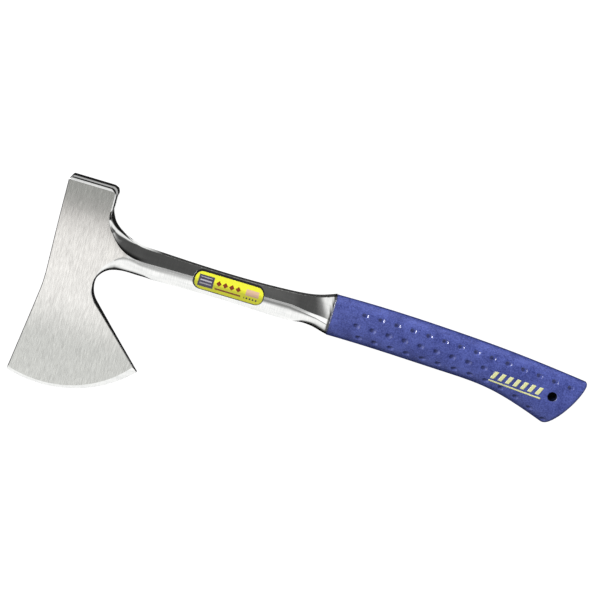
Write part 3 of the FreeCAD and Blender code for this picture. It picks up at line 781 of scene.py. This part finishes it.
def press_pits(points):
    """Sinks the pits into points of the grip. Each pit is a bar with round ends; a point inside it
    moves inwards along the pit's own axis to the bar's far side, with the rim eased. Returns the
    points, how much painted shade each gets, deepest in the pits and most on their collar side, and
    how smooth: above nought in the upper row and below it in the others."""
    runs, rises = pit_places()
    middle, depth, half = grip_section(runs)
    up = (rises - middle) / depth
    out = (1 - np.abs(up) ** grip_power) ** (1 / grip_power)
    steep = grip_power - 1
    way = np.stack([0 * up, np.sign(up) * np.abs(up) ** steep / depth, out ** steep / half], -1)
    way /= np.linalg.norm(way, axis=1, keepdims=True)
    centre = np.stack([collar_run + runs, rises, half * out], -1) + way * (pit_radius - pit_depth)
    moved = points.copy()
    dark, smooth = np.zeros(points.shape[:2]), np.zeros(points.shape[:2])
    for side in (1, -1):
        flip = np.array([1, 1, side])
        for number, (place, inwards) in enumerate(zip(centre * flip, -way * flip)):
            offset = points - place
            near = np.nonzero(np.linalg.norm(offset, axis=-1) < pit_pitch / 2)
            local = offset[near]
            # Painted shade: deeper points darker, most on the collar side of each pit
            behind = pit_dark_middle - pit_dark_slope * local[:, 0]
            local[:, 0] -= np.clip(local[:, 0], -pit_length / 2, pit_length / 2)
            along = local @ inwards
            side_way = np.linalg.norm(local - along[:, None] * inwards, axis=1)
            sunk = np.sqrt(np.clip(pit_radius ** 2 - side_way ** 2, 0, None)) - along
            sunk = (sunk + np.hypot(sunk, pit_rim_ease) - pit_rim_ease) / 2
            sunk = np.where(side_way < pit_radius, np.clip(sunk, 0, None), 0)
            moved[near] += inwards * sunk[:, None]
            dark[near] += sunk / pit_depth * np.clip(behind, 0, 1)
            smooth[near] += sunk / pit_depth * (1 if number < upper_row_count else -1)
    return moved, dark, smooth


def open_hole(points):
    """Opens the hanging hole. The grid's points round it, on each side, move outwards from its middle
    so that a square ring of them becomes the hole's circle. Returns the moved points, a mask of the
    faces to keep, and the two rings."""
    rows, columns = points.shape[:2]
    keep = np.ones((rows - 1, columns), bool)
    moved = points.copy()
    rings = []
    inner, outer = 6, 15
    rim_radius = hang_hole_radius + hang_hole_round
    inside, end = np.arange(-inner, inner), np.full(2 * inner, inner)
    around_rows = np.concatenate([-end, inside, end, -inside])
    around_columns = np.concatenate([inside, end, -inside, -end])
    for side in (1, -1):
        away = np.linalg.norm(points[..., :2] - hang_hole, axis=-1)
        away = np.where(points[..., 2] * side < 0, np.inf, away)
        row, column = np.unravel_index(np.argmin(away), away.shape)
        steps = np.arange(-outer, outer + 1)
        block = np.ix_(row + steps, (column + steps) % columns)
        ring = np.maximum(np.abs(steps)[:, None], np.abs(steps))
        offset = points[block][..., :2] - hang_hole
        distance = np.linalg.norm(offset, axis=-1)
        way = offset / np.maximum(distance, 1e-6)[..., None]
        share = np.clip((ring - inner) / (outer - inner), 0, 1)
        wanted = rim_radius + (distance - rim_radius) * share
        new = hang_hole + way * np.where(share < 1, wanted, distance)[..., None]
        height = side * grip_side_at(new[..., 0], new[..., 1])
        moved[block] = np.concatenate([new, height[..., None]], -1)
        keep[np.ix_(row + inside, (column + inside) % columns)] = False
        rings.append(moved[row + around_rows, (column + around_columns) % columns])
    return moved, keep, rings


def hole_wall(rings):
    """Rows from the near ring to the far one, both put in order round the hole's middle: a quarter
    round in, straight through, and a quarter round out."""
    ways = [ring[:, :2] - hang_hole for ring in rings]
    orders = [np.argsort(np.arctan2(way[:, 1], way[:, 0])) for way in ways]
    near, far = (ring[order] for ring, order in zip(rings, orders))
    way = (near[:, :2] - hang_hole) / np.linalg.norm(near[:, :2] - hang_hole, axis=1, keepdims=True)
    turn = np.radians(np.linspace(0, 90, 5))
    radii = hang_hole_radius + hang_hole_round * (1 - np.sin(turn))
    drops = hang_hole_round * (1 - np.cos(turn))
    start, end = near[:, 2] - hang_hole_round, far[:, 2] + hang_hole_round
    rows = [(radii[i], near[:, 2] - drops[i]) for i in range(1, 5)]
    rows += [(hang_hole_radius, between(start, end, share)) for share in np.linspace(0, 1, 8)[1:]]
    rows += [(radii[i], far[:, 2] + drops[i]) for i in (3, 2, 1)]
    wall = [np.column_stack([hang_hole + way * radius, height]) for radius, height in rows]
    return np.array([near, *wall, far])


def make_grip(material):
    """Outer skin with its pits and hanging hole, the hole's wall, the front rim turned in to the
    cavity, and the cavity's walls round the tang."""
    skin, keep, rings = open_hole(grip_shell())
    skin, dark, smooth = press_pits(skin)
    wall = hole_wall(rings)
    cavity = tang_points(cavity_gap, 0.0, 12)
    angle, cavity_angle = (2 * np.pi * shares(count) for count in (grip_round_count, cavity.shape[1]))
    lining = np.array([
        np.column_stack([np.interp(angle, cavity_angle, side, period=2 * np.pi) for side in ring.T])
        for ring in cavity
    ])
    rim = (skin[0] + lining[0]) / 2
    rim[:, 0] = collar_run
    shell = Shell()
    shell.grid(skin, closed=True, keep=keep)
    shell.grid(wall, closed=True)
    lining_index = shell.grid(np.concatenate([skin[:1], rim[None], lining]), closed=True)
    shell.cap(lining_index[-1])
    # Painted shade: a line all round the grip's edge, the front rim rows by the collar's gap, and the
    # hole's wall
    silhouette_shade = np.clip((silhouette_shade_half - np.abs(skin[..., 2])) / silhouette_shade_fade, 0, 1) * silhouette_shade_dark
    silhouette_shade[:len(rim_dark)] = rim_dark
    in_hole = np.ones(wall.shape[:2])
    in_hole[:3] = 0
    shade = np.concatenate([silhouette_shade.ravel(), in_hole.ravel()])
    piece = shell.piece("axe_grip", material, dark=dark.ravel(), smooth=smooth.ravel(), shade=shade)
    finish_piece(piece, 0.01, "grip_sleeve")


# Label and mark

def film(name, plans, height_at, thickness, material):
    """Thin skins over a surface: each grid of places is raised to the surface's height plus the
    thickness, and its rim turns down into the surface all round."""
    shell = Shell()
    for plan in plans:
        height = height_at(plan[..., 0], plan[..., 1])[..., None]
        top = shell.grid(np.concatenate([plan, height + thickness], -1))
        under = shell.grid(np.concatenate([plan, height - thickness / 3], -1), flipped=True)
        rim, low_rim = (np.concatenate([index[0], index[1:, -1], index[-1, -2::-1], index[-2:0:-1, 0]])
                        for index in (top, under))
        shell.faces += np.stack([rim, low_rim, np.roll(low_rim, -1), np.roll(rim, -1)], -1).tolist()
    return shell.piece(name, material)


def shaft_half_at(run, rise):
    """Half thickness of the shaft: flat on the ridge's strip, then straight down to the flats."""
    ridge = ridge_rise_at(run)
    high = ridge_half_at(run)
    low = np.interp(run, flat_runs, flat_halves)
    reach = np.where(rise > ridge, top_at(run) - ridge, ridge - bottom_at(run)) - ridge_strip_half
    across = np.clip(np.abs(rise - ridge) - ridge_strip_half, 0, None)
    return high - (high - low) * across / reach


def make_label(material):
    """Film on the shaft: a grid of rows whose half length shrinks near the label's top and bottom by
    the corners' circles."""
    across = np.sin(np.radians(np.linspace(-90, 90, 41))) * label_width / 2
    beyond = np.clip(np.abs(across) - (label_width / 2 - label_corner), 0, label_corner)
    half = label_length / 2 - label_corner + np.sqrt(label_corner ** 2 - beyond ** 2)
    run = label_run + half[:, None] * np.linspace(-1, 1, 161)
    plan = np.stack([run, label_rise + across[:, None] + 0 * run], -1)
    piece = film("shaft_film", [plan], shaft_half_at, label_thickness, material)
    finish_piece(piece, 0.005, "shaft_label")


def make_mark(material):
    """Print on the grip: a grid over each slanted bar and one over the line under them, turned and
    moved to place."""
    turn = math.radians(mark_tilt_angle)
    plans = []

    def add_plan(x, y):
        run = x * math.cos(turn) - y * math.sin(turn) + collar_run + mark_run
        rise = x * math.sin(turn) + y * math.cos(turn) - mark_drop
        plans.append(np.stack([run, rise], -1))

    v, u = np.meshgrid(np.linspace(-0.5, 0.5, 13), np.linspace(-0.5, 0.5, 9), indexing="ij")
    for number in range(mark_bar_count):
        middle = (number - (mark_bar_count - 1) / 2) * mark_bar_pitch
        add_plan(middle + u * mark_bar_width + v * mark_bar_slant, v * mark_bar_height)
    v, u = np.meshgrid(np.linspace(-0.5, 0.5, 5), np.linspace(-0.5, 0.5, 61), indexing="ij")
    line_middle = -mark_bar_height / 2 - mark_line_gap - mark_line_width / 2
    add_plan(u * mark_bar_count * mark_bar_pitch, line_middle + v * mark_line_width)
    piece = film("grip_print", plans, grip_side_at, mark_thickness, material)
    finish_piece(piece, 0.005, "grip_mark")


# Materials

class Nodes:
    """A node tree, with short calls for the nodes used here."""

    def __init__(self, tree):
        self.tree = tree

    def node(self, kind, **settings):
        made = self.tree.nodes.new(kind)
        for key, value in settings.items():
            setattr(made, key, value)
        return made

    def link(self, source, target):
        if isinstance(source, bpy.types.NodeSocket):
            self.tree.links.new(source, target)
        else:
            target.default_value = source

    def filled(self, made, *values):
        """The node, with its first inputs given or linked in order."""
        for value, socket in zip(values, made.inputs):
            self.link(value, socket)
        return made

    def math(self, operation, *values):
        return self.filled(self.node("ShaderNodeMath", operation=operation), *values).outputs[0]

    def chain(self, operation, first, *others):
        """The first value, taken with each of the others in turn."""
        for other in others:
            first = self.math(operation, first, other)
        return first

    plus = partialmethod(chain, "ADD")
    minus = partialmethod(chain, "SUBTRACT")
    times = partialmethod(chain, "MULTIPLY")
    highest = partialmethod(chain, "MAXIMUM")

    def split(self, vector):
        return self.filled(self.node("ShaderNodeSeparateXYZ"), vector).outputs

    def length(self, x, y):
        """Length of the vector with two given sides."""
        return self.math("SQRT", self.plus(self.times(x, x), self.times(y, y)))

    def remap(self, value, low, high, to_low, to_high, kind="LINEAR"):
        made = self.node("ShaderNodeMapRange", interpolation_type=kind)
        return self.filled(made, value, low, high, to_low, to_high).outputs["Result"]

    def eased(self, value, start, end, low=0, high=1):
        return self.remap(value, start, end, low, high, "SMOOTHSTEP")

    def band(self, value, start, end, edge):
        """One between the start and the end, and nought outside them, with soft edges."""
        rising = self.eased(value, start - edge, start + edge)
        return self.times(rising, self.eased(value, end - edge, end + edge, 1, 0))

    def ramp(self, value, stops):
        """Colour by value, straight between the stops."""
        made = self.node("ShaderNodeValToRGB")
        elements = made.color_ramp.elements
        while len(elements) < len(stops):
            elements.new(0.5)
        for element, (at, colour) in zip(elements, stops):
            element.position = at
            element.color = (*colour, 1)
        return self.filled(made, value).outputs["Color"]

    def profile(self, value, stops):
        """Brightness by a value from -1 to 1, straight between the stops, at most two."""
        greys = [((at + 1) / 2, (bright / 2,) * 3) for at, bright in stops]
        return self.times(self.ramp(self.remap(value, -1, 1, 0, 1), greys), 2.0)

    def mix(self, share, first, second, blend="MIX"):
        made = self.node("ShaderNodeMix", data_type="RGBA", blend_type=blend)
        self.link(share, made.inputs["Factor"])
        for value, socket in ((first, made.inputs["A"]), (second, made.inputs["B"])):
            self.link(value if isinstance(value, bpy.types.NodeSocket) else (*value, 1), socket)
        return made.outputs["Result"]

    def choose(self, share, first, second):
        """Shader that is the first one, or the second one where the share is one."""
        return self.filled(self.node("ShaderNodeMixShader"), share, first, second).outputs[0]


class Paint(Nodes):
    """A material and its nodes, round one main shader."""

    def __init__(self, name):
        self.material = bpy.data.materials.new(name)
        self.material.use_nodes = True
        super().__init__(self.material.node_tree)
        self.shader = self.tree.nodes["Principled BSDF"]
        self.place = self.node("ShaderNodeTexCoord").outputs["Object"]

    def set(self, **values):
        for key, value in values.items():
            self.link(value, self.shader.inputs[key.replace("_", " ")])

    def attribute(self, name):
        return self.node("ShaderNodeAttribute", attribute_name=name).outputs["Fac"]

    def noise(self, scale, detail, roughness):
        """Noise whose features are 1 / scale long along each axis, in metres."""
        stretched = self.node("ShaderNodeMapping")
        stretched.inputs["Scale"].default_value = scale
        self.link(self.place, stretched.inputs["Vector"])
        made = self.node("ShaderNodeTexNoise")
        made.inputs["Scale"].default_value = 1.0
        made.inputs["Detail"].default_value = detail
        made.inputs["Roughness"].default_value = roughness
        self.link(stretched.outputs[0], made.inputs["Vector"])
        return made.outputs["Fac"]

    def blend(self, first, second, share):
        """The first value, with a share of the second in it."""
        return self.plus(self.times(first, 1 - share), self.times(second, share))

    def bump(self, height, strength, distance):
        made = self.node("ShaderNodeBump")
        made.inputs["Strength"].default_value = strength
        made.inputs["Distance"].default_value = distance
        self.link(height, made.inputs["Height"])
        self.link(made.outputs["Normal"], self.shader.inputs["Normal"])


def steel_material():
    """Ground lines down the cheeks, and polish elsewhere, chosen by the mesh's own attributes. The
    ground faces grow a little darker towards the cutting edge and the striking face, painted shade
    for the dimmer reflections there, and the shade attribute mixes in painted shade along edges."""
    paint = Paint("steel")
    brushed, shade = paint.attribute("brushed"), paint.attribute("shade")
    grain = paint.blend(paint.noise((2000, 95, 80), 4, 0.7), paint.noise((4200, 220, 280), 2, 0.6), 0.45)
    ground = paint.ramp(grain, [(0.32, (0.48, 0.47, 0.455)), (0.68, (0.98, 0.965, 0.935))])
    # Painted shade: the ground faces darker towards the cutting edge and the striking face
    by_height = paint.ramp(paint.remap(paint.split(paint.place)["Y"], -0.05, 0.083, 0, 1), [
        (0.04, (0.78, 0.8, 0.79)),
        (0.3, (0.99, 0.99, 0.985)),
        (0.8, (1, 0.99, 0.98)),
        (0.95, (0.8, 0.82, 0.8)),
    ])
    ground = paint.mix(1.0, ground, by_height, "MULTIPLY")
    haze = paint.blend(paint.noise((60, 400, 400), 3, 0.5), paint.noise((1500, 120, 120), 3, 0.6), 0.5)
    polished = paint.ramp(haze, [(0.35, (0.74, 0.75, 0.74)), (0.65, (0.935, 0.935, 0.92))])
    colour = paint.mix(brushed, polished, ground)
    # The shade attribute mixes in near black: painted shade and dark reflections, painted shadow at the
    # collar
    paint.set(Base_Color=paint.mix(paint.times(shade, 0.9), colour, (0.008, 0.008, 0.008)), Metallic=1.0)
    paint.set(Roughness=paint.remap(brushed, 0, 1, 0.07, 0.22))
    paint.bump(paint.times(grain, brushed), 0.45, 0.00002)
    return paint.material


def grip_material():
    """Blue moulded vinyl with a fine grain and faint cloudiness. The upper pits are smoother and the
    others rougher. Painted shade darkens the pits, the gap at the collar, a line all round the edge
    and the hanging hole's wall."""
    paint = Paint("grip_vinyl")
    grain = paint.noise((900, 900, 900), 4, 0.75)
    tone = paint.blend(grain, paint.noise((90, 90, 90), 3, 0.6), 0.35)
    dark, smooth, shade = (paint.attribute(name) for name in ("dark", "smooth", "shade"))
    colour = paint.ramp(tone, [(0.4, (0.02, 0.033, 0.21)), (0.6, (0.1, 0.135, 0.5))])
    # Painted shade in the pits, from the dark attribute
    colour = paint.mix(paint.remap(dark, 0.15, 0.6, 0.0, 0.7), colour, (0.008, 0.011, 0.06))
    # Painted shade at the collar's gap, round the grip's edge and in the hanging hole
    paint.set(Base_Color=paint.mix(paint.times(shade, 0.93), colour, (0.004, 0.005, 0.012)))
    rough = paint.remap(grain, 0.3, 0.7, 0.3, 0.44)
    paint.set(Roughness=paint.plus(rough, paint.remap(smooth, -0.3, 0.3, 0.35, -0.2)))
    paint.bump(paint.times(grain, paint.remap(smooth, 0.0, 0.3, 1.0, 0.1)), 0.8, 0.0002)
    return paint.material


def label_material():
    """Printed film in generic blocks: a dark border, heavier along the top and the left, a yellow
    ground, a violet block with pale stripes at the left, brown diamonds and a line under them in the
    middle, and a peach band with dark dashes at the right. Lengths are in metres from the middle."""
    paint = Paint("label_print")
    middle = (np.array([label_run, label_rise, 0]) + to_model) * metres
    place = paint.split(paint.place)
    x, y = paint.minus(place["X"], middle[0]), paint.minus(place["Y"], middle[1])

    def within(value, low, high):
        """One inside a range and nought outside it."""
        above = paint.math("GREATER_THAN", value, low * metres)
        return paint.times(above, paint.math("LESS_THAN", value, high * metres))

    def block(left, right, bottom, top):
        return paint.times(within(x, left, right), within(y, bottom, top))

    def pitch_share(value, pitch):
        """How far a place is into its pitch, from nought to one."""
        return paint.math("FRACT", paint.math("DIVIDE", value, pitch * metres))

    def repeated(value, pitch, share):
        """One over a share of every pitch."""
        return paint.math("LESS_THAN", pitch_share(value, pitch), share)

    def distance(value, middle):
        return paint.math("ABSOLUTE", paint.minus(value, middle * metres))

    def beyond(value, middle, size):
        """How far a place is past the centres of the border's corners on one axis, or nought."""
        return paint.highest(paint.minus(distance(value, middle), (size / 2 - label_corner) * metres), 0.0)

    step = paint.math("ABSOLUTE", paint.minus(pitch_share(x, diamond_pitch), 0.5))
    reach = paint.plus(paint.times(step, diamond_pitch * metres), distance(y, diamond_rise))
    in_diamond = paint.math("LESS_THAN", reach, diamond_reach * metres)
    far = paint.length(beyond(x, border_shift, label_length), beyond(y, -border_shift, label_width))
    in_border = paint.math("GREATER_THAN", far, (label_corner - border_width) * metres)
    brown = (0.27, 0.045, 0.008)
    colour = (0.96, 0.96, 0.045)
    for mask, ink in (
        (block(*violet_block), (0.08, 0.07, 0.12)),
        (paint.times(block(*striped_block), repeated(y, stripe_pitch, stripe_share)), (0.6, 0.58, 0.66)),
        (paint.times(in_diamond, within(x, diamond_start, diamond_end)), brown),
        (block(*brown_line), brown),
        (block(*peach_band), (0.84, 0.56, 0.38)),
        (paint.times(block(*dashed_block), repeated(x, dash_pitch, dash_share)), (0.05, 0.04, 0.04)),
        (in_border, (0.018, 0.016, 0.016)),
    ):
        colour = paint.mix(mask, colour, ink)
    paint.set(Base_Color=colour, Roughness=0.25)
    return paint.material


def cloudy_material(name, scale, dark, light, roughness):
    """Plain ink or resin that is a little cloudy."""
    paint = Paint(name)
    cloud = paint.noise((scale, scale, scale), 2, 0.5)
    paint.set(Base_Color=paint.ramp(cloud, [(0.3, dark), (0.7, light)]), Roughness=roughness)
    return paint.material


# Studio

# Light patches on the floor that the polished faces see: start, end and softness of the ones round
# the poll and along the crook, how far they fade, two corners of the one over the shaft, in
# millimetres, and where the one behind the shaft grows. The other lengths are in metres.
poll_patch = (0.00305, 0.00475, 0.0003)
poll_patch_fade = 0.004
poll_patch_light = 0.5
rear_patch = (-0.0004, 0.0012, 0.0003)
rear_patch_fade = 0.003
shaft_patch_start = (57.0, 12.0)
shaft_patch_end = (66.0, 22.0)
shaft_patch_edge = 0.001
shaft_patch_fade = 0.014
shaft_patch_rest = 0.06
behind_patch_rises = (0.062, 0.078)
behind_patch_runs = (-0.152, -0.135)
far_floor_radii = (0.3, 0.5)
near_floor_light = 0.012


def in_model(x, y):
    """Place on the middle plane in the model's frame, in metres."""
    return ((np.array([x, y]) + to_model[:2]) * metres).tolist()


def make_floor():
    """Pale floor. Polished steel sees it dark near the axe and light far off, with light patches that
    show in the striking face, the rear face and the shaft."""
    size = 6.0
    mesh = bpy.data.meshes.new("studio_floor")
    corners = [(-size, -size, 0), (size, -size, 0), (size, size, 0), (-size, size, 0)]
    mesh.from_pydata(corners, [], [(0, 1, 2, 3)])
    floor = bpy.data.objects.new("studio_floor", mesh)
    bpy.context.scene.collection.objects.link(floor)
    material = bpy.data.materials.new("pale_floor")
    material.use_nodes = True
    material.node_tree.nodes.clear()
    nodes = Nodes(material.node_tree)
    place = nodes.split(nodes.node("ShaderNodeNewGeometry").outputs["Position"])
    x, y = place["X"], place["Y"]

    # Outside the poll's rounded corner, and along the crook's fillet below it
    corner = in_model(poll_width - poll_rear_round, poll_rise - poll_rear_round)
    across = nodes.highest(nodes.minus(x, corner[0]), 0.0)
    above = nodes.highest(nodes.minus(y, corner[1]), 0.0)
    beyond = nodes.minus(nodes.length(across, above), poll_rear_round * metres)
    rising = nodes.remap(y, corner[1] - poll_patch_fade, corner[1], 0.0, poll_patch_light)
    by_poll = nodes.times(nodes.band(beyond, *poll_patch), rising)
    crook = in_model(poll_width + crook_radius, crook_rise)
    below = nodes.math("MINIMUM", nodes.minus(y, crook[1]), 0.0)
    inside = nodes.minus(crook_radius * metres, nodes.length(nodes.minus(x, crook[0]), below))
    falling = nodes.remap(y, corner[1] - rear_patch_fade, corner[1], 1.0, 0.0)
    by_rear = nodes.times(nodes.band(inside, *rear_patch), falling)

    # Over the shaft next to the crook, behind the whole shaft, and all round far off
    start, end, edge = in_model(*shaft_patch_start), in_model(*shaft_patch_end), shaft_patch_edge
    growing = nodes.remap(x, start[0] - edge, start[0] + edge, 0, 1)
    fading = nodes.remap(x, end[0], end[0] + shaft_patch_fade, 1, shaft_patch_rest)
    by_shaft = nodes.times(growing, fading, nodes.band(y, start[1], end[1], edge))
    behind_shaft = nodes.times(nodes.eased(y, *behind_patch_rises), nodes.eased(x, *behind_patch_runs))
    far_off = nodes.eased(nodes.length(x, y), *far_floor_radii, near_floor_light, 1)
    seen = nodes.node("ShaderNodeEmission")
    strength = nodes.highest(by_poll, by_rear, by_shaft, behind_shaft, far_off)
    nodes.link(strength, seen.inputs["Strength"])
    lit = nodes.node("ShaderNodeBsdfDiffuse")
    lit.inputs["Color"].default_value = (0.85, 0.85, 0.85, 1)
    glow = nodes.node("ShaderNodeEmission")
    glow.inputs["Strength"].default_value = 1.15
    pale = nodes.choose(0.9, lit.outputs[0], glow.outputs[0])
    to_camera = nodes.node("ShaderNodeLightPath").outputs["Is Camera Ray"]
    output = nodes.node("ShaderNodeOutputMaterial")
    nodes.link(nodes.choose(to_camera, seen.outputs[0], pale), output.inputs[0])
    mesh.materials.append(material)


def make_world():
    """White to the camera. To what shines, a studio with light below, a dark wall above and a low
    light ring; to what is matt, soft light from above."""
    world = bpy.data.worlds.new("studio")
    bpy.context.scene.world = world
    world.use_nodes = True
    world.node_tree.nodes.clear()
    nodes = Nodes(world.node_tree)
    way = nodes.split(nodes.node("ShaderNodeTexCoord").outputs["Generated"])
    by_slope = nodes.profile(way["Y"], [
        (-1, 1.35), (-0.6, 1.35), (-0.45, 1.5), (-0.36, 1.4), (-0.3, 1.0), (-0.262, 0.15),
        (-0.24, 0.2), (-0.18, 0.36), (-0.05, 0.7), (0.1, 1.3), (0.25, 1.2), (0.34, 0.35),
        (0.44, 0.115), (0.6, 0.1), (0.75, 0.17), (0.88, 0.9), (1, 1.2),
    ])
    above_low = nodes.profile(way["Z"], [(-1, 0.02), (0.04, 0.02), (0.2, 1)])
    low_ring = nodes.profile(way["Z"], [(-1, 1.1), (0.14, 1.1), (0.32, 0)])
    low_ring = nodes.times(low_ring, nodes.profile(way["Y"], [(-0.8, 0), (-0.5, 1)]))
    glossy = nodes.highest(nodes.times(by_slope, above_low), low_ring)
    soft = nodes.profile(way["Y"], [(-1, 0.06), (-0.3, 0.2), (0.3, 0.6), (1, 0.8)])
    path = nodes.node("ShaderNodeLightPath").outputs
    around = nodes.node("ShaderNodeBackground")
    around.inputs["Strength"].default_value = 0.8
    nodes.link(nodes.mix(path["Is Diffuse Ray"], glossy, soft), around.inputs["Color"])
    seen = nodes.node("ShaderNodeBackground")
    seen.inputs["Color"].default_value = (1, 1, 1, 1)
    output = nodes.node("ShaderNodeOutputWorld")
    nodes.link(nodes.choose(path["Is Camera Ray"], around.outputs[0], seen.outputs[0]), output.inputs[0])


def make_lights():
    """A light from above on the left, for what is matt, and a tall narrow one at the left that glints
    in the pits."""
    key = bpy.data.lights.new("key", "SUN")
    key.energy = 1.9
    key.angle = math.radians(15)
    strip = bpy.data.lights.new("strip", "AREA")
    strip.energy = 100.0
    strip.shape = "RECTANGLE"
    strip.size = 0.35
    strip.size_y = 2.2
    for light, way, upright in (
        (key, (-0.45, 0.55, 0.7), (0, 1, 0)),
        (strip, (-0.88, 0.25, 0.38), (0.05, 0.87, -0.48)),
    ):
        lamp = bpy.data.objects.new(light.name, light)
        back = Vector(way).normalized()
        right = Vector(upright).cross(back).normalized()
        lamp.matrix_world = Matrix((right, back.cross(right), back)).transposed().to_4x4()
        lamp.location = back * light_distance
        lamp.visible_glossy = light == strip
        lamp.visible_diffuse = light == key
        bpy.context.scene.collection.objects.link(lamp)


def make_camera():
    """Camera that looks down, a little from the striking face's side, and is rolled about the way that
    it looks."""
    data = bpy.data.cameras.new("camera")
    data.lens = camera_lens
    data.clip_start = 0.05
    camera = bpy.data.objects.new("camera", data)
    lean = Matrix.Rotation(-math.radians(camera_lean_angle), 4, "X")
    roll = Matrix.Rotation(math.radians(camera_roll_angle), 4, "Z")
    back = Matrix.Translation((0, 0, camera_distance))
    camera.matrix_world = Matrix.Translation(camera_target) @ lean @ roll @ back
    bpy.context.scene.collection.objects.link(camera)
    bpy.context.scene.camera = camera


make_forging(steel_material())
make_grip(grip_material())
make_label(label_material())
make_mark(cloudy_material("mark_ink", 700, (0.95, 0.97, 0.4), (1.0, 1.0, 0.56), 0.4))
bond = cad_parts["grip_bond"].data.materials
bond.clear()
bond.append(cloudy_material("bond_resin", 200, (0.66, 0.58, 0.36), (0.8, 0.73, 0.5), 0.5))
make_floor()
make_world()
make_lights()
make_camera()
bpy.context.scene.view_settings.view_transform = "Standard"
